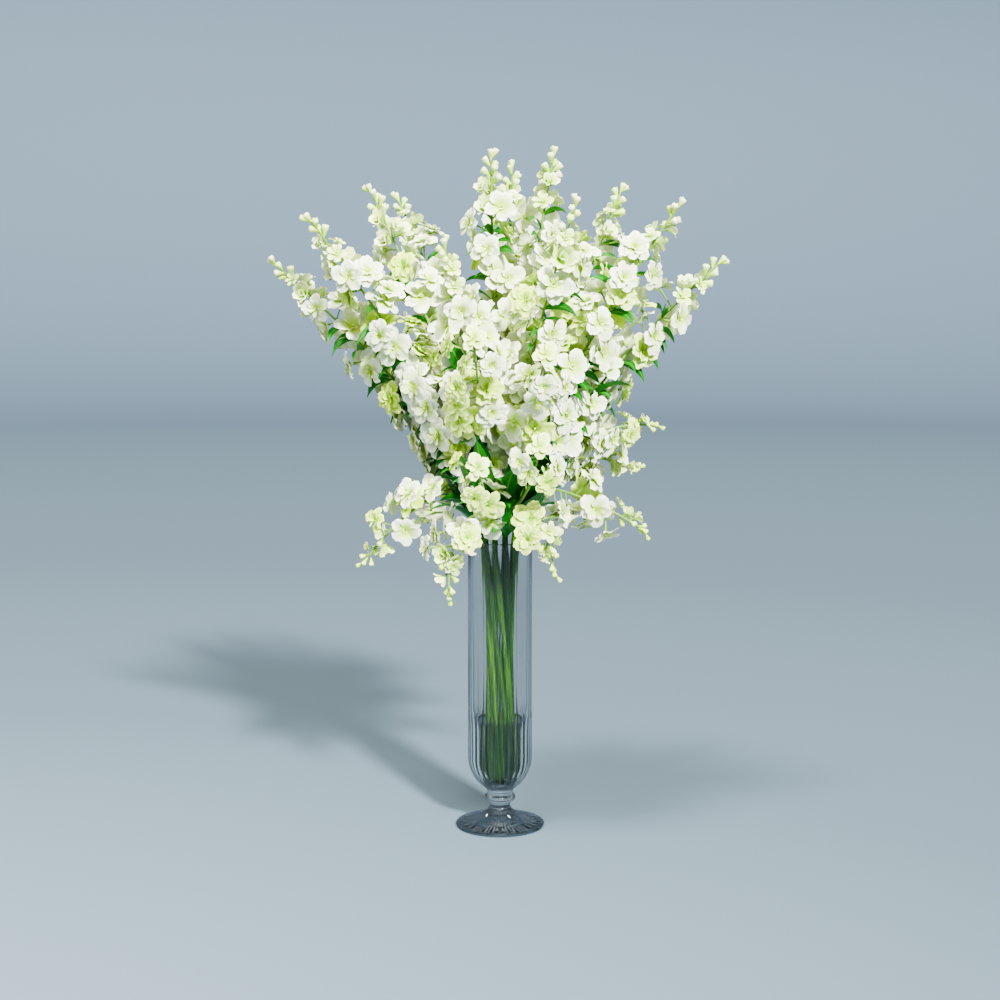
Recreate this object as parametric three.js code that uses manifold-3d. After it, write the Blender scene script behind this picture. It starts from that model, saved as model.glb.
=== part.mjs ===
// White delphiniums standing in a tall footed glass vase with a little water.
//
// Millimetres, +Z up. The origin is the middle of the flat underside of the vase's foot.
// The vase and the water are turned shapes. Each stem stands in the bowl, crosses the others at
// the middle of the vase and arches out above the mouth. Florets, half-open florets and buds sit
// round each spike by the golden angle, smaller and closer together towards the tip.
import * as THREE from 'three';
import { mergeVertices } from 'three/addons/utils/BufferGeometryUtils.js';
import Module from 'manifold-3d';

const wasm = await Module();
wasm.setup();

// ---------------------------------------------------------------- driving dimensions

const VASE_HEIGHT = 400;
const FOOT_RADIUS = 61.5;
const BODY_RADIUS = 44.2;
const WALL = 3.5;
const WAIST_RADIUS = 14.2;
const KNOB_RADIUS = 21.5;
const BOWL_TOP = 98; // where the rounded bowl becomes the straight cylinder
const BOWL_DEPTH = 50; // outside, from there down to the knob
const BOWL_FLOOR = 55; // inside
const FLUTES = 16;
const FLUTE_DEPTH = 0.9;
const FOOT_CUT_DEPTH = 1.1;
const WATER_LEVEL = 150;

const GAP = 0.35; // left between pieces that touch

const STEM_RADIUS = 4;
const STEM_TOP_RADIUS = 3;
const RACHIS_RADIUS = 2.7;
const RACHIS_TIP_RADIUS = 1.5;
const SHOOT_RADIUS = 2.1;
const OUTER_STEMS = 10;
const OUTER_RING = 24; // radius of the ring of stems on the bowl's floor and at the mouth
const INNER_RING = 6.5; // the same for the two stems in the middle
const OUTER_TWIST = 95; // degrees between a stem's place on the floor and at the mouth
const INNER_TWIST = 60;
const STANDING_ROOM = 3; // under a stem's slanted end

// The three kinds of flower. Each pair of numbers is for the first and the last of its kind on a
// raceme: the flower's radius, the length of its stalk and the angle between stalk and rachis.
const FLOWERS = {
  open: { radius: [28.5, 26], stalk: [25, 20], lean: [66, 66] },
  half: { radius: [15, 11.25], stalk: [18, 14], lean: [58, 58] },
  bud: { radius: [5.4, 4.05], stalk: [14, 9], lean: [52, 36] },
};
const BUD_LENGTH = 15;
const BUDS = 3; // beside the one that ends the raceme
const OPEN_PITCH = 27; // along the spike, between one open floret and the next
const SPIKE_TIP = 76; // the last run of a spike, with half-open florets and buds
const SHOOT_TIP = 58;
const GOLDEN_ANGLE = 137.50776;
const WHORL_FROM = 0.45; // only florets that face out of the bunch by more than this have an inner whorl

const LEAF_LENGTH = 78;
const LEAF_WIDTH = 17;
const LEAF_THICKNESS = 1.3;

// Each stem's spike: the place of its tip, and the height where its flowers begin.
const STEMS = [
  { tip: [311, 30, 788], flowersFrom: 492 },
  { tip: [177, 130, 895], flowersFrom: 500 },
  { tip: [17, 190, 933], flowersFrom: 495 },
  { tip: [-154, 200, 886], flowersFrom: 500 },
  { tip: [-183, 50, 888], flowersFrom: 510 },
  { tip: [-312, -20, 784], flowersFrom: 490 },
  { tip: [-252, -110, 839], flowersFrom: 492 },
  { tip: [-72, -150, 806], flowersFrom: 480 },
  { tip: [99, -150, 858], flowersFrom: 480 },
  { tip: [243, -60, 861], flowersFrom: 494 },
  { tip: [-12, -20, 929], flowersFrom: 570 },
  { tip: [75, 20, 936], flowersFrom: 570 },
];

// Side shoots: the stem that bears each one, the height where it leaves, the point that it
// bends towards, and its tip.
const SIDE_SHOOTS = [
  { stem: 0, from: 520, towards: [130, 22, 560], tip: [223, 40, 556] },
  { stem: 1, from: 486, towards: [112, 62, 530], tip: [202, 108, 486] },
  { stem: 9, from: 480, towards: [112, -58, 476], tip: [200, -62, 416] },
  { stem: 8, from: 446, towards: [58, -118, 474], tip: [72, -128, 362] },
  { stem: 7, from: 440, towards: [-72, -122, 458], tip: [-66, -124, 330] },
  { stem: 5, from: 476, towards: [-122, -42, 466], tip: [-188, -42, 368] },
  { stem: 7, from: 424, towards: [-16, -92, 462], tip: [-30, -178, 520] },
  { stem: 8, from: 438, towards: [46, -84, 470], tip: [50, -176, 548] },
  { stem: 7, from: 540, towards: [-24, -160, 600], tip: [-34, -205, 684] },
  { stem: 8, from: 540, towards: [44, -150, 590], tip: [58, -205, 664] },
  { stem: 2, from: 520, towards: [-16, 150, 590], tip: [-30, 250, 716] },
  { stem: 1, from: 540, towards: [96, 140, 590], tip: [165, 215, 690] },
  { stem: 3, from: 520, towards: [-90, 120, 560], tip: [-210, 165, 690] },
  { stem: 3, from: 470, towards: [-76, 112, 500], tip: [-118, 158, 402] },
  { stem: 2, from: 460, towards: [44, 112, 496], tip: [64, 160, 396] },
];

// ---------------------------------------------------------------- materials

const glass = new THREE.MeshStandardMaterial({
  name: 'glass', color: '#c9d3d6', roughness: 0.05, metalness: 0, transparent: true, opacity: 0.4,
});
const waterSurface = new THREE.MeshStandardMaterial({
  name: 'water', color: '#9fb3a8', roughness: 0.02, metalness: 0, transparent: true, opacity: 0.5,
});
const green = new THREE.MeshStandardMaterial({
  name: 'stem_green', color: '#4f8a2e', roughness: 0.5, metalness: 0,
});
const white = new THREE.MeshStandardMaterial({
  name: 'petal_white', color: '#eef0e6', roughness: 0.6, metalness: 0,
});

// ---------------------------------------------------------------- small helpers

const radians = THREE.MathUtils.degToRad;
const mix = THREE.MathUtils.lerp;
const vector = ([x, y, z]) => new THREE.Vector3(x, y, z);

// A repeatable number from 0 to 1 for each pair of whole numbers.
function chance(i, j) {
  const wave = Math.sin(i * 12.9898 + j * 78.233) * 43758.5453;
  return wave - Math.floor(wave);
}

// Two directions square to `along` and to each other, the same way round all along a path.
function across(along) {
  const side = new THREE.Vector3().crossVectors(along, new THREE.Vector3(0, 1, 0)).normalize();
  const other = new THREE.Vector3().crossVectors(side, along).normalize();
  return [side, other];
}

// A flat ring of points; `radiusAt` and `liftAt` give the shape of its edge.
function ring(centre, along, sides, radiusAt, liftAt = () => 0) {
  const [side, other] = across(along);
  return Array.from({ length: sides }, (_, i) => {
    const turn = (2 * Math.PI * i) / sides;
    const radius = radiusAt(i);
    return centre.clone()
      .addScaledVector(side, radius * Math.cos(turn))
      .addScaledVector(other, radius * Math.sin(turn))
      .addScaledVector(along, liftAt(i));
  });
}

// A closed skin over a row of rings. Neighbouring rings may differ in their number of points; a
// ring of one point is a tip, and an end ring with more is closed flat.
function skin(rings) {
  const points = rings.flat();
  const index = [];
  let start = 0;
  for (let r = 0; r + 1 < rings.length; r += 1) {
    const a = rings[r].length;
    const b = rings[r + 1].length;
    const next = start + a;
    let i = 0;
    let j = 0;
    while (i < (a > 1 ? a : 0) || j < (b > 1 ? b : 0)) {
      const stepA = j >= (b > 1 ? b : 0) || (a > 1 && i < a && (i + 1) / a <= (j + 1) / b);
      if (stepA) {
        index.push(start + (i % a), start + ((i + 1) % a), next + (j % b));
        i += 1;
      } else {
        index.push(start + (i % a), next + ((j + 1) % b), next + (j % b));
        j += 1;
      }
    }
    start = next;
  }
  const last = rings.at(-1).length;
  for (let i = 1; i + 1 < rings[0].length; i += 1) index.push(0, i + 1, i);
  for (let i = 1; i + 1 < last; i += 1) index.push(start, start + i, start + i + 1);
  const geometry = new THREE.BufferGeometry().setFromPoints(points);
  geometry.setIndex(index);
  return geometry;
}

// A closed geometry as a solid, with its doubled vertices merged and its faces pointing out.
function solid(geometry) {
  geometry.deleteAttribute('normal');
  geometry.deleteAttribute('uv');
  const merged = mergeVertices(geometry, 1e-5);
  const at = merged.getAttribute('position');
  const triangles = [];
  let volume = 0;
  const [a, b, c] = [new THREE.Vector3(), new THREE.Vector3(), new THREE.Vector3()];
  for (let i = 0; i < merged.index.count; i += 3) {
    const corners = [0, 1, 2].map((k) => merged.index.getX(i + k));
    if (new Set(corners).size < 3) continue;
    triangles.push(corners);
    a.fromBufferAttribute(at, corners[0]);
    b.fromBufferAttribute(at, corners[1]);
    c.fromBufferAttribute(at, corners[2]);
    volume += a.dot(b.cross(c));
  }
  const outward = volume > 0 ? triangles : triangles.map(([p, q, r]) => [p, r, q]);
  return new wasm.Manifold(new wasm.Mesh({
    numProp: 3,
    vertProperties: Float32Array.from(at.array),
    triVerts: Uint32Array.from(outward.flat()),
  }));
}

const joined = (solids) => solids.reduce((whole, piece) => whole.add(piece));

function pieces(whole) {
  return whole.decompose().sort((p, q) => q.volume() - p.volume());
}

function meshOf(name, whole, material) {
  const { vertProperties, triVerts } = pieces(whole)[0].getMesh();
  const geometry = new THREE.BufferGeometry();
  geometry.setAttribute('position', new THREE.BufferAttribute(vertProperties, 3));
  geometry.setIndex(new THREE.BufferAttribute(triVerts, 1));
  geometry.computeVertexNormals();
  const mesh = new THREE.Mesh(geometry, material);
  mesh.name = name;
  return mesh;
}

// ---------------------------------------------------------------- vase and water

// The bowl's inner wall, from its floor up to `top`, moved in by `inset`.
function innerWall(top, inset) {
  const radius = BODY_RADIUS - WALL;
  const depth = BOWL_TOP - BOWL_FLOOR;
  const curve = [60, 30, 0].map((angle) => new THREE.Vector2(
    radius * Math.cos(radians(angle)) - inset,
    BOWL_TOP - (depth - inset) * Math.sin(radians(angle)),
  ));
  return [new THREE.Vector2(0, BOWL_FLOOR + inset), ...curve, new THREE.Vector2(radius - inset, top)];
}

function turned(profile, segments) {
  return new THREE.LatheGeometry(profile, segments).rotateX(Math.PI / 2);
}

function vaseGeometry() {
  const footEdge = 4.5;
  const waistBottom = 28;
  const sweep = new THREE.QuadraticBezierCurve(
    new THREE.Vector2(FOOT_RADIUS - 1, footEdge),
    new THREE.Vector2(WAIST_RADIUS + 9, 9),
    new THREE.Vector2(WAIST_RADIUS, waistBottom),
  );
  const outside = [
    new THREE.Vector2(0, 0),
    new THREE.Vector2(FOOT_RADIUS - 1.5, 0),
    new THREE.Vector2(FOOT_RADIUS, 1.6),
    ...sweep.getPoints(3),
    new THREE.Vector2(WAIST_RADIUS, 33),
    new THREE.Vector2(KNOB_RADIUS - 1.2, 37.5),
    new THREE.Vector2(KNOB_RADIUS, 41),
    new THREE.Vector2(18, 46.5),
    ...[62, 32, 0].map((angle) => new THREE.Vector2(
      BODY_RADIUS * Math.cos(radians(angle)),
      BOWL_TOP - BOWL_DEPTH * Math.sin(radians(angle)),
    )),
    new THREE.Vector2(BODY_RADIUS, VASE_HEIGHT),
  ];
  const inside = innerWall(VASE_HEIGHT, 0).reverse();
  const geometry = turned([...outside, ...inside], 2 * FLUTES);

  // Flutes run up the outside of the bowl, and the same number of cuts cross the top of the foot.
  const at = geometry.getAttribute('position');
  for (let i = 0; i < at.count; i += 1) {
    const [x, y, z] = [at.getX(i), at.getY(i), at.getZ(i)];
    const radius = Math.hypot(x, y);
    const wave = Math.cos(FLUTES * Math.atan2(y, x));
    const onOutside = z > 50 && radius > BODY_RADIUS * Math.cos(radians(66)) - 0.5;
    const outerWall = z > BOWL_TOP ? radius > BODY_RADIUS - 0.5
      : onOutside && radius > (BODY_RADIUS - WALL) * Math.sqrt(Math.max(
        0, 1 - ((BOWL_TOP - z) / (BOWL_TOP - BOWL_FLOOR)) ** 2,
      )) + 1;
    if (outerWall && z < VASE_HEIGHT - 1) {
      const fade = z > WATER_LEVEL ? 0.5 : 1;
      const grown = 1 + (FLUTE_DEPTH * fade * (wave - 1)) / 2 / radius;
      at.setXY(i, x * grown, y * grown);
    }
    if (z > 3 && z < waistBottom - 1 && radius > WAIST_RADIUS + 1) {
      at.setZ(i, z + (FOOT_CUT_DEPTH * (wave - 1)) / 2);
    }
  }
  return geometry;
}

function waterGeometry() {
  const wall = innerWall(WATER_LEVEL, GAP + 0.1);
  return turned([...wall, new THREE.Vector2(0, WATER_LEVEL)], 16);
}

// ---------------------------------------------------------------- paths of the stems

// How high a stem's end stands on the curved floor of the bowl, `radius` from its middle.
function standingHeight(radius) {
  const share = (radius + STEM_RADIUS + 1) / (BODY_RADIUS - WALL);
  return BOWL_TOP - (BOWL_TOP - BOWL_FLOOR) * Math.sqrt(1 - share * share) + STANDING_ROOM;
}

function onRing(radius, degrees, height) {
  return new THREE.Vector3(
    radius * Math.cos(radians(degrees)), radius * Math.sin(radians(degrees)), height,
  );
}

// The straight run in the vase, then an arch from the mouth to the spike's tip.
function stemPath(number) {
  const outer = number < OUTER_STEMS;
  const radius = outer ? OUTER_RING : INNER_RING;
  const angle = outer ? (360 / OUTER_STEMS) * number : 180 * (number - OUTER_STEMS + 1);
  const twist = outer ? OUTER_TWIST : INNER_TWIST;
  const foot = onRing(radius, angle + twist, standingHeight(radius));
  const mouth = onRing(radius, angle, VASE_HEIGHT);
  const tip = vector(STEMS[number].tip);
  const rise = mouth.clone().sub(foot).normalize();
  const bend = mouth.clone().addScaledVector(rise, 0.3 * mouth.distanceTo(tip));
  return {
    foot, mouth, arch: new THREE.QuadraticBezierCurve3(mouth, bend, tip),
  };
}

// The parameter of a rising arch where it reaches a height.
function whereHigh(arch, height) {
  let low = 0;
  let high = 1;
  for (let step = 0; step < 40; step += 1) {
    const middle = (low + high) / 2;
    if (arch.getPoint(middle).z < height) low = middle;
    else high = middle;
  }
  return low;
}

const stems = STEMS.map((stem, number) => {
  const path = stemPath(number);
  return { ...path, top: whereHigh(path.arch, stem.flowersFrom) };
});

// Every raceme: its path, where its flowers begin on it, and which stem bears it.
const racemes = [
  ...stems.map(({ arch, top }, number) => ({
    name: `spike_${String(number + 1).padStart(2, '0')}`,
    path: arch,
    begin: top,
    stem: number,
    radius: RACHIS_RADIUS,
    steps: 4,
    bare: 0.02,
    budding: SPIKE_TIP,
    halfOpen: 2,
  })),
  ...SIDE_SHOOTS.map(({ stem, from, towards, tip }, number) => {
    const { arch } = stems[stem];
    return {
      name: `side_shoot_${String(number + 1).padStart(2, '0')}`,
      path: new THREE.QuadraticBezierCurve3(
        arch.getPoint(whereHigh(arch, from)), vector(towards), vector(tip),
      ),
      begin: 0,
      stem,
      radius: SHOOT_RADIUS,
      steps: 6,
      bare: 0.3,
      budding: SHOOT_TIP,
      halfOpen: 1,
    };
  }),
];

// ---------------------------------------------------------------- where the flowers stand

// Spheres stand in for what is placed already, so that nothing new grows through it.
const taken = [];
const OWN_OVERLAP = 1.5; // florets of one raceme may just touch

function room(spheres, owner) {
  let least = Infinity;
  for (const { at, radius } of spheres) {
    const fromVase = at.z - radius > VASE_HEIGHT + 2
      ? Infinity : Math.hypot(at.x, at.y) - radius - BODY_RADIUS - 2;
    least = Math.min(least, fromVase);
    for (const other of taken) {
      if (other.owner === owner && other.slim) continue;
      const reach = radius + other.radius;
      const away = at.distanceTo(other.at) - reach;
      least = Math.min(least, other.owner === owner ? away + OWN_OVERLAP : away);
    }
    if (least < -30) break;
  }
  return least;
}

function take(spheres, owner, slim = false) {
  for (const sphere of spheres) taken.push({ ...sphere, owner, slim });
}

function flowerSpheres({ centre, facing, root, radius, kind }) {
  const stalk = [0.35, 0.7].map((share) => ({
    at: root.clone().lerp(centre, share), radius: 1.6,
  }));
  if (kind !== 'open') {
    return [...stalk, { at: centre, radius: radius * (kind === 'bud' ? 1.1 : 0.8) }];
  }
  const spread = [[0.5, 5.5], [0.86, 4.5]].flatMap(([share, size]) => ring(
    centre, facing, share > 0.6 ? 10 : 5, () => share * radius, () => 1,
  ).map((at) => ({ at, radius: size })));
  return [...stalk, { at: centre, radius: 6 }, ...spread];
}

const TURNS = [0, 28, -28, 56, -56, 84, -84, 115, -115, 150, -150];
const STRETCHES = [1, 1.25, 0.8];
const LEAST_ROOM = 0.3;
const WORST_ROOM = -2;

// The kind of each flower of a raceme, how far along its kind's run it is, and where it leaves
// the path, from the base to the tip.
function rowOf({ path, begin, bare, budding, halfOpen }) {
  const first = begin + (1 - begin) * bare;
  const length = path.getPoint(first).distanceTo(path.getPoint(1));
  const open = Math.max(2, Math.round((length - budding) / OPEN_PITCH));
  const lastOpen = mix(1, first, budding / length);
  const lastHalfOpen = mix(lastOpen, 1, 0.22 * halfOpen);
  const runs = [
    ['open', open, first, lastOpen],
    ['half', halfOpen, lastOpen, lastHalfOpen],
    ['bud', BUDS, lastHalfOpen, 0.97],
  ];
  return runs.flatMap(([kind, count, from, to]) => Array.from({ length: count }, (_, i) => ({
    kind, share: i / count, t: mix(from, to, i / count),
  })));
}

// The size and place of each flower of a raceme.
function flowersOf(raceme, order) {
  const flowers = [];
  rowOf(raceme).forEach(({ kind, share, t }, i) => {
    const [radius, stalk, lean] = [FLOWERS[kind].radius, FLOWERS[kind].stalk, FLOWERS[kind].lean]
      .map(([first, last]) => mix(first, last, share));
    const root = raceme.path.getPoint(t);
    const tangent = raceme.path.getTangent(t);
    const [side, other] = across(tangent);
    let best = null;
    for (const stretch of STRETCHES) {
      for (const turn of TURNS) {
        const angle = radians(360 * chance(order, 1) + GOLDEN_ANGLE * i + turn);
        const out = side.clone().multiplyScalar(Math.cos(angle))
          .addScaledVector(other, Math.sin(angle));
        const pointing = out.clone().multiplyScalar(Math.sin(radians(lean)))
          .addScaledVector(tangent, Math.cos(radians(lean)));
        const centre = root.clone().addScaledVector(pointing, stalk * stretch);
        const sway = new THREE.Vector3(
          chance(order, 10 * i + 2) - 0.5, chance(order, 10 * i + 3) - 0.5, chance(order, 10 * i + 4),
        );
        const facing = kind === 'open'
          ? pointing.clone().addScaledVector(out, 0.5).addScaledVector(sway, 0.35).normalize()
          : pointing;
        const flower = { kind, radius, root, centre, facing, seed: 100 * order + i };
        const free = room(flowerSpheres(flower), raceme.name);
        if (!best || free > best.free) best = { ...flower, free };
        if (best.free >= LEAST_ROOM) break;
      }
      if (best.free >= LEAST_ROOM) break;
    }
    if (best.free < WORST_ROOM) return;
    take(flowerSpheres(best), raceme.name);
    flowers.push(best);
  });
  return flowers;
}

// ---------------------------------------------------------------- leaves

// Two leaves near the rim on each outer stem, turned out from the bunch.
function leavesOf(number) {
  if (number >= OUTER_STEMS) return [];
  const { arch } = stems[number];
  return [0, 1].map((pair) => {
    const height = 418 + 46 * pair + 16 * chance(number, 31 + pair);
    const root = arch.getPoint(whereHigh(arch, height));
    const turn = (360 / OUTER_STEMS) * number + (pair ? 24 : -20) + 20 * (chance(number, 41 + pair) - 0.5);
    const length = LEAF_LENGTH * mix(0.85, 1.2, chance(number, 51 + pair));
    return { root, turn, length, rise: mix(0.45, 0.75, chance(number, 61 + pair)) };
  });
}

function leafPath({ root, turn, length, rise }) {
  const out = onRing(1, turn, 0);
  const bend = root.clone().addScaledVector(out, 0.45 * length);
  bend.z += rise * length;
  const tip = root.clone().addScaledVector(out, 0.95 * length);
  tip.z += (rise - 0.25) * length;
  return new THREE.QuadraticBezierCurve3(root, bend, tip);
}

function leafGeometry(leaf, grow) {
  const path = leafPath(leaf);
  const stations = [[0, 0.15], [0.4, 1], [0.75, 0.66], [1, 0]];
  const rings = stations.map(([t, share]) => {
    const point = path.getPoint(t);
    if (share === 0) return [point.addScaledVector(path.getTangent(1), 2 * grow)];
    const tangent = path.getTangent(t);
    const side = new THREE.Vector3(0, 0, 1).cross(tangent).normalize();
    const up = tangent.clone().cross(side);
    const half = (share * LEAF_WIDTH) / 2 + 2 * grow;
    const thick = LEAF_THICKNESS / 2 + 2 * grow;
    return [
      point.clone().addScaledVector(side, half).addScaledVector(up, 0.3 * half),
      point.clone().addScaledVector(up, thick),
      point.clone().addScaledVector(side, -half).addScaledVector(up, 0.3 * half),
      point.clone().addScaledVector(up, -thick),
    ];
  });
  return skin(rings);
}

// ---------------------------------------------------------------- solids of stems and flowers

function tube(points, tangents, radii, sides) {
  return skin(points.map((point, i) => ring(point, tangents[i], sides, () => radii[i])));
}

// The green stem with its leaves, thicker by `grow` all over.
function stemSolid(number, grow) {
  const { foot, mouth, arch, top } = stems[number];
  const rise = mouth.clone().sub(foot).normalize();
  const steps = [0.5, 1].map((share) => share * top);
  const points = [foot.clone().addScaledVector(rise, -grow), mouth, ...steps.map((t) => arch.getPoint(t))];
  const tangents = [rise, rise, ...steps.map((t) => arch.getTangent(t))];
  points.at(-1).addScaledVector(tangents.at(-1), grow);
  const radii = points.map((_, i) => mix(STEM_RADIUS, STEM_TOP_RADIUS, i / (points.length - 1)) + grow);
  const leaves = leavesOf(number).map((leaf) => solid(leafGeometry(leaf, grow)));
  return joined([solid(tube(points, tangents, radii, 6)), ...leaves]);
}

// The three-sided stalk behind a flower. It tapers to a point sunk in the far side of the rachis.
function stalk(back, root, radius, grow) {
  const along = root.clone().sub(back).normalize();
  const sunk = root.clone().addScaledVector(along, 0.3 * RACHIS_RADIUS);
  return [ring(back, along.clone().negate(), 3, () => radius + grow), [sunk]];
}

// An open, semi-double floret: a raised inner whorl of petals over five broad outer ones.
function openFloret({ centre, facing, root, radius, seed }, grow) {
  const wide = radius + 3 * grow;
  const outwards = new THREE.Vector3(centre.x, centre.y, 0).normalize().dot(facing);
  const innerWhorl = ring(centre, facing, 5, () => 0.4 * wide, () => 0.3 * radius + grow);
  const eye = centre.clone().addScaledVector(facing, 0.05 * radius + grow);
  const middle = outwards > WHORL_FROM ? [[eye], innerWhorl] : [[eye]];
  const outerWhorl = ring(
    centre, facing, 15,
    (i) => (i % 3 ? 1 : 0.72) * wide * (1 - 0.08 * chance(seed, i)),
    (i) => (i % 3 ? 0.1 + 0.16 * (chance(seed, 20 + i) - 0.5) : 0) * radius,
  );
  const back = centre.clone().addScaledVector(facing, -0.26 * radius - grow);
  return skin([...middle, outerWhorl, ...stalk(back, root, 3.4, grow)]);
}

// A floret that is still a cup, with its petal tips just apart.
function halfOpenFloret({ centre, facing, root, radius, seed }, grow) {
  const wide = radius + 2 * grow;
  const throat = centre.clone().addScaledVector(facing, -0.1 * radius + grow);
  const lip = ring(
    centre, facing, 6,
    (i) => (i % 2 ? 0.7 : 1) * wide,
    (i) => (i % 2 ? 0.3 : 0.45 + 0.2 * chance(seed, i)) * radius + grow,
  );
  const back = centre.clone().addScaledVector(facing, -0.75 * radius - grow);
  return skin([[throat], lip, ...stalk(back, root, 2.6, grow)]);
}

function bud({ centre, facing, root, radius }, grow) {
  const tip = centre.clone().addScaledVector(facing, BUD_LENGTH * 0.45 + grow);
  return skin([
    [tip],
    ring(centre, facing, 3, () => 1.15 * radius + grow),
    [root.clone().addScaledVector(facing, -1.2)],
  ]);
}

const flowerShapes = { open: openFloret, half: halfOpenFloret, bud };

// The rachis, ending in a bud, with its flowers.
function racemeSolid({ path, begin, radius, steps }, flowers, grow) {
  const length = path.getPoint(begin).distanceTo(path.getPoint(1));
  const neck = mix(1, begin, BUD_LENGTH / length);
  const axis = Array.from({ length: steps + 1 }, (_, i) => {
    const t = mix(begin, neck, i / steps);
    const tangent = path.getTangent(t);
    const point = path.getPoint(t).addScaledVector(tangent, i ? 0 : -grow);
    return ring(point, tangent, 4, () => mix(radius, RACHIS_TIP_RADIUS, i / steps) + grow);
  });
  const bulge = path.getPoint(mix(neck, 1, 0.5));
  const tip = path.getPoint(1).addScaledVector(path.getTangent(1), grow);
  axis.push(ring(bulge, path.getTangent(1), 4, () => 0.8 * FLOWERS.bud.radius[0] + grow), [tip]);
  return joined([
    solid(skin(axis)),
    ...flowers.map((flower) => solid(flowerShapes[flower.kind](flower, grow))),
  ]);
}

// ---------------------------------------------------------------- the whole bunch

// The paths and the leaves take their room first, then the flowers of one raceme after another.
for (const [number, { foot, mouth, arch, top }] of stems.entries()) {
  const inVase = Array.from({ length: 12 }, (_, i) => foot.clone().lerp(mouth, i / 12));
  const above = Array.from({ length: 14 }, (_, i) => arch.getPoint((top * i) / 14));
  take([...inVase, ...above].map((at) => ({ at, radius: STEM_RADIUS })), `stem_${number}`);
  for (const leaf of leavesOf(number)) {
    const path = leafPath(leaf);
    const blade = [0.3, 0.45, 0.6, 0.8].map((t) => ({ at: path.getPoint(t), radius: LEAF_WIDTH * 0.3 }));
    take(blade, `leaf_${number}`);
  }
}
for (const { name, path, begin, radius } of racemes) {
  const along = Array.from({ length: 60 }, (_, i) => path.getPoint(mix(begin, 1, (i + 0.5) / 60)));
  take(along.map((at) => ({ at, radius: radius + 1.6 })), name, true);
}
const flowers = racemes.map((raceme, order) => flowersOf(raceme, order));

// Each new piece is cut clear of the ones before it.
const finished = [];

function clearOf(whole, others) {
  let left = whole;
  for (const { fatter } of others) {
    if (!left.intersect(fatter).isEmpty()) left = left.subtract(fatter);
  }
  return left;
}

function finish(name, build, material) {
  const plain = build(0);
  const whole = clearOf(plain, finished);
  finished.push({ name, whole, fatter: plain.add(build(GAP)), material });
}

stems.forEach((_, number) => finish(
  `stem_${String(number + 1).padStart(2, '0')}`, (grow) => stemSolid(number, grow), green,
));
racemes.forEach((raceme, order) => finish(
  raceme.name, (grow) => racemeSolid(raceme, flowers[order], grow), white,
));

const arrangement = new THREE.Group();
arrangement.name = 'delphiniums_in_vase';
arrangement.add(meshOf('vase', solid(vaseGeometry()), glass));
arrangement.add(meshOf('water', clearOf(solid(waterGeometry()), finished), waterSurface));
for (const { name, whole, material } of finished) arrangement.add(meshOf(name, whole, material));

export default arrangement;
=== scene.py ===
"""White delphiniums in a tall footed glass vase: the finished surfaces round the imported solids.

Lengths are in millimetres, as on a florist's or a glassmaker's drawing, and become metres where a
mesh is made. The stems, racemes and leaves follow the same rules as the solids, so each finished
piece lies where its solid lies.
"""
import math

import bmesh
import bpy
import numpy as np
from mathutils import Matrix


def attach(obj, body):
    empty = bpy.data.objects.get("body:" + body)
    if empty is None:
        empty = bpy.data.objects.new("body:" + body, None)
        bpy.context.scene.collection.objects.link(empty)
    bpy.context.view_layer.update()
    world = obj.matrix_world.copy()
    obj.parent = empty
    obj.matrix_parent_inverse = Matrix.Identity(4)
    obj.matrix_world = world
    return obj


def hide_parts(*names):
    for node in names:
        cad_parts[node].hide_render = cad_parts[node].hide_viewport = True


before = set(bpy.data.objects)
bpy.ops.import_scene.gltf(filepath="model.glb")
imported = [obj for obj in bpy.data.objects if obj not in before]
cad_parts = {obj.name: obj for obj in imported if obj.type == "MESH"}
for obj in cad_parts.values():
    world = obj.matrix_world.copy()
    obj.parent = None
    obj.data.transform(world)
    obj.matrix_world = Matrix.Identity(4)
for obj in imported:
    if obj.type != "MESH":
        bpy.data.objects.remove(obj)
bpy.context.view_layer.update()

MM = 0.001

# ---------------------------------------------------------------- sizes of the vase

VASE_HEIGHT = 400
FOOT_RADIUS = 61.5
BODY_RADIUS = 44.2
WALL = 3.5
WAIST_RADIUS = 14.2
KNOB_RADIUS = 21.5
BOWL_TOP = 98  # where the rounded bowl becomes the straight cylinder
BOWL_DEPTH = 50
BOWL_FLOOR = 55
WATER_LEVEL = 150
WATER_GAP = 0.12  # between the water and the glass
MENISCUS = 1.0  # how far the water climbs the wall
FLUTES = 24
FLUTE_DEPTH = 2.2  # in the bowl and up to the water
UPPER_FLUTE_DEPTH = 0.38  # which makes each flute a flat panel
STAR_CUTS = 60  # on the foot, every other one shorter
STAR_CUT_DEPTH = 0.9
CUT_HEIGHTS = (3.5, 27)  # of the top of the foot, where the cuts are
CUTS_BEGIN = (15, 19)  # they grow from nothing between these radii
FLUTES_BEGIN = (49, 60)  # the flutes grow from nothing between these heights
PANELS_BEGIN = (WATER_LEVEL - 6, WATER_LEVEL + 18)  # and turn into flat panels between these

# ---------------------------------------------------------------- sizes of the flowers

STEM_RADIUS = 4
STEM_TOP_RADIUS = 3
RACHIS_RADIUS = 2.7
RACHIS_TIP_RADIUS = 1.5
SHOOT_RADIUS = 2.1
PEDICEL_RADIUS = 1.0  # the thin stalk of one flower
OUTER_STEMS = 10
OUTER_RING = 24
INNER_RING = 6.5
OUTER_TWIST = 95
INNER_TWIST = 60
STANDING_ROOM = 3

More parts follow.
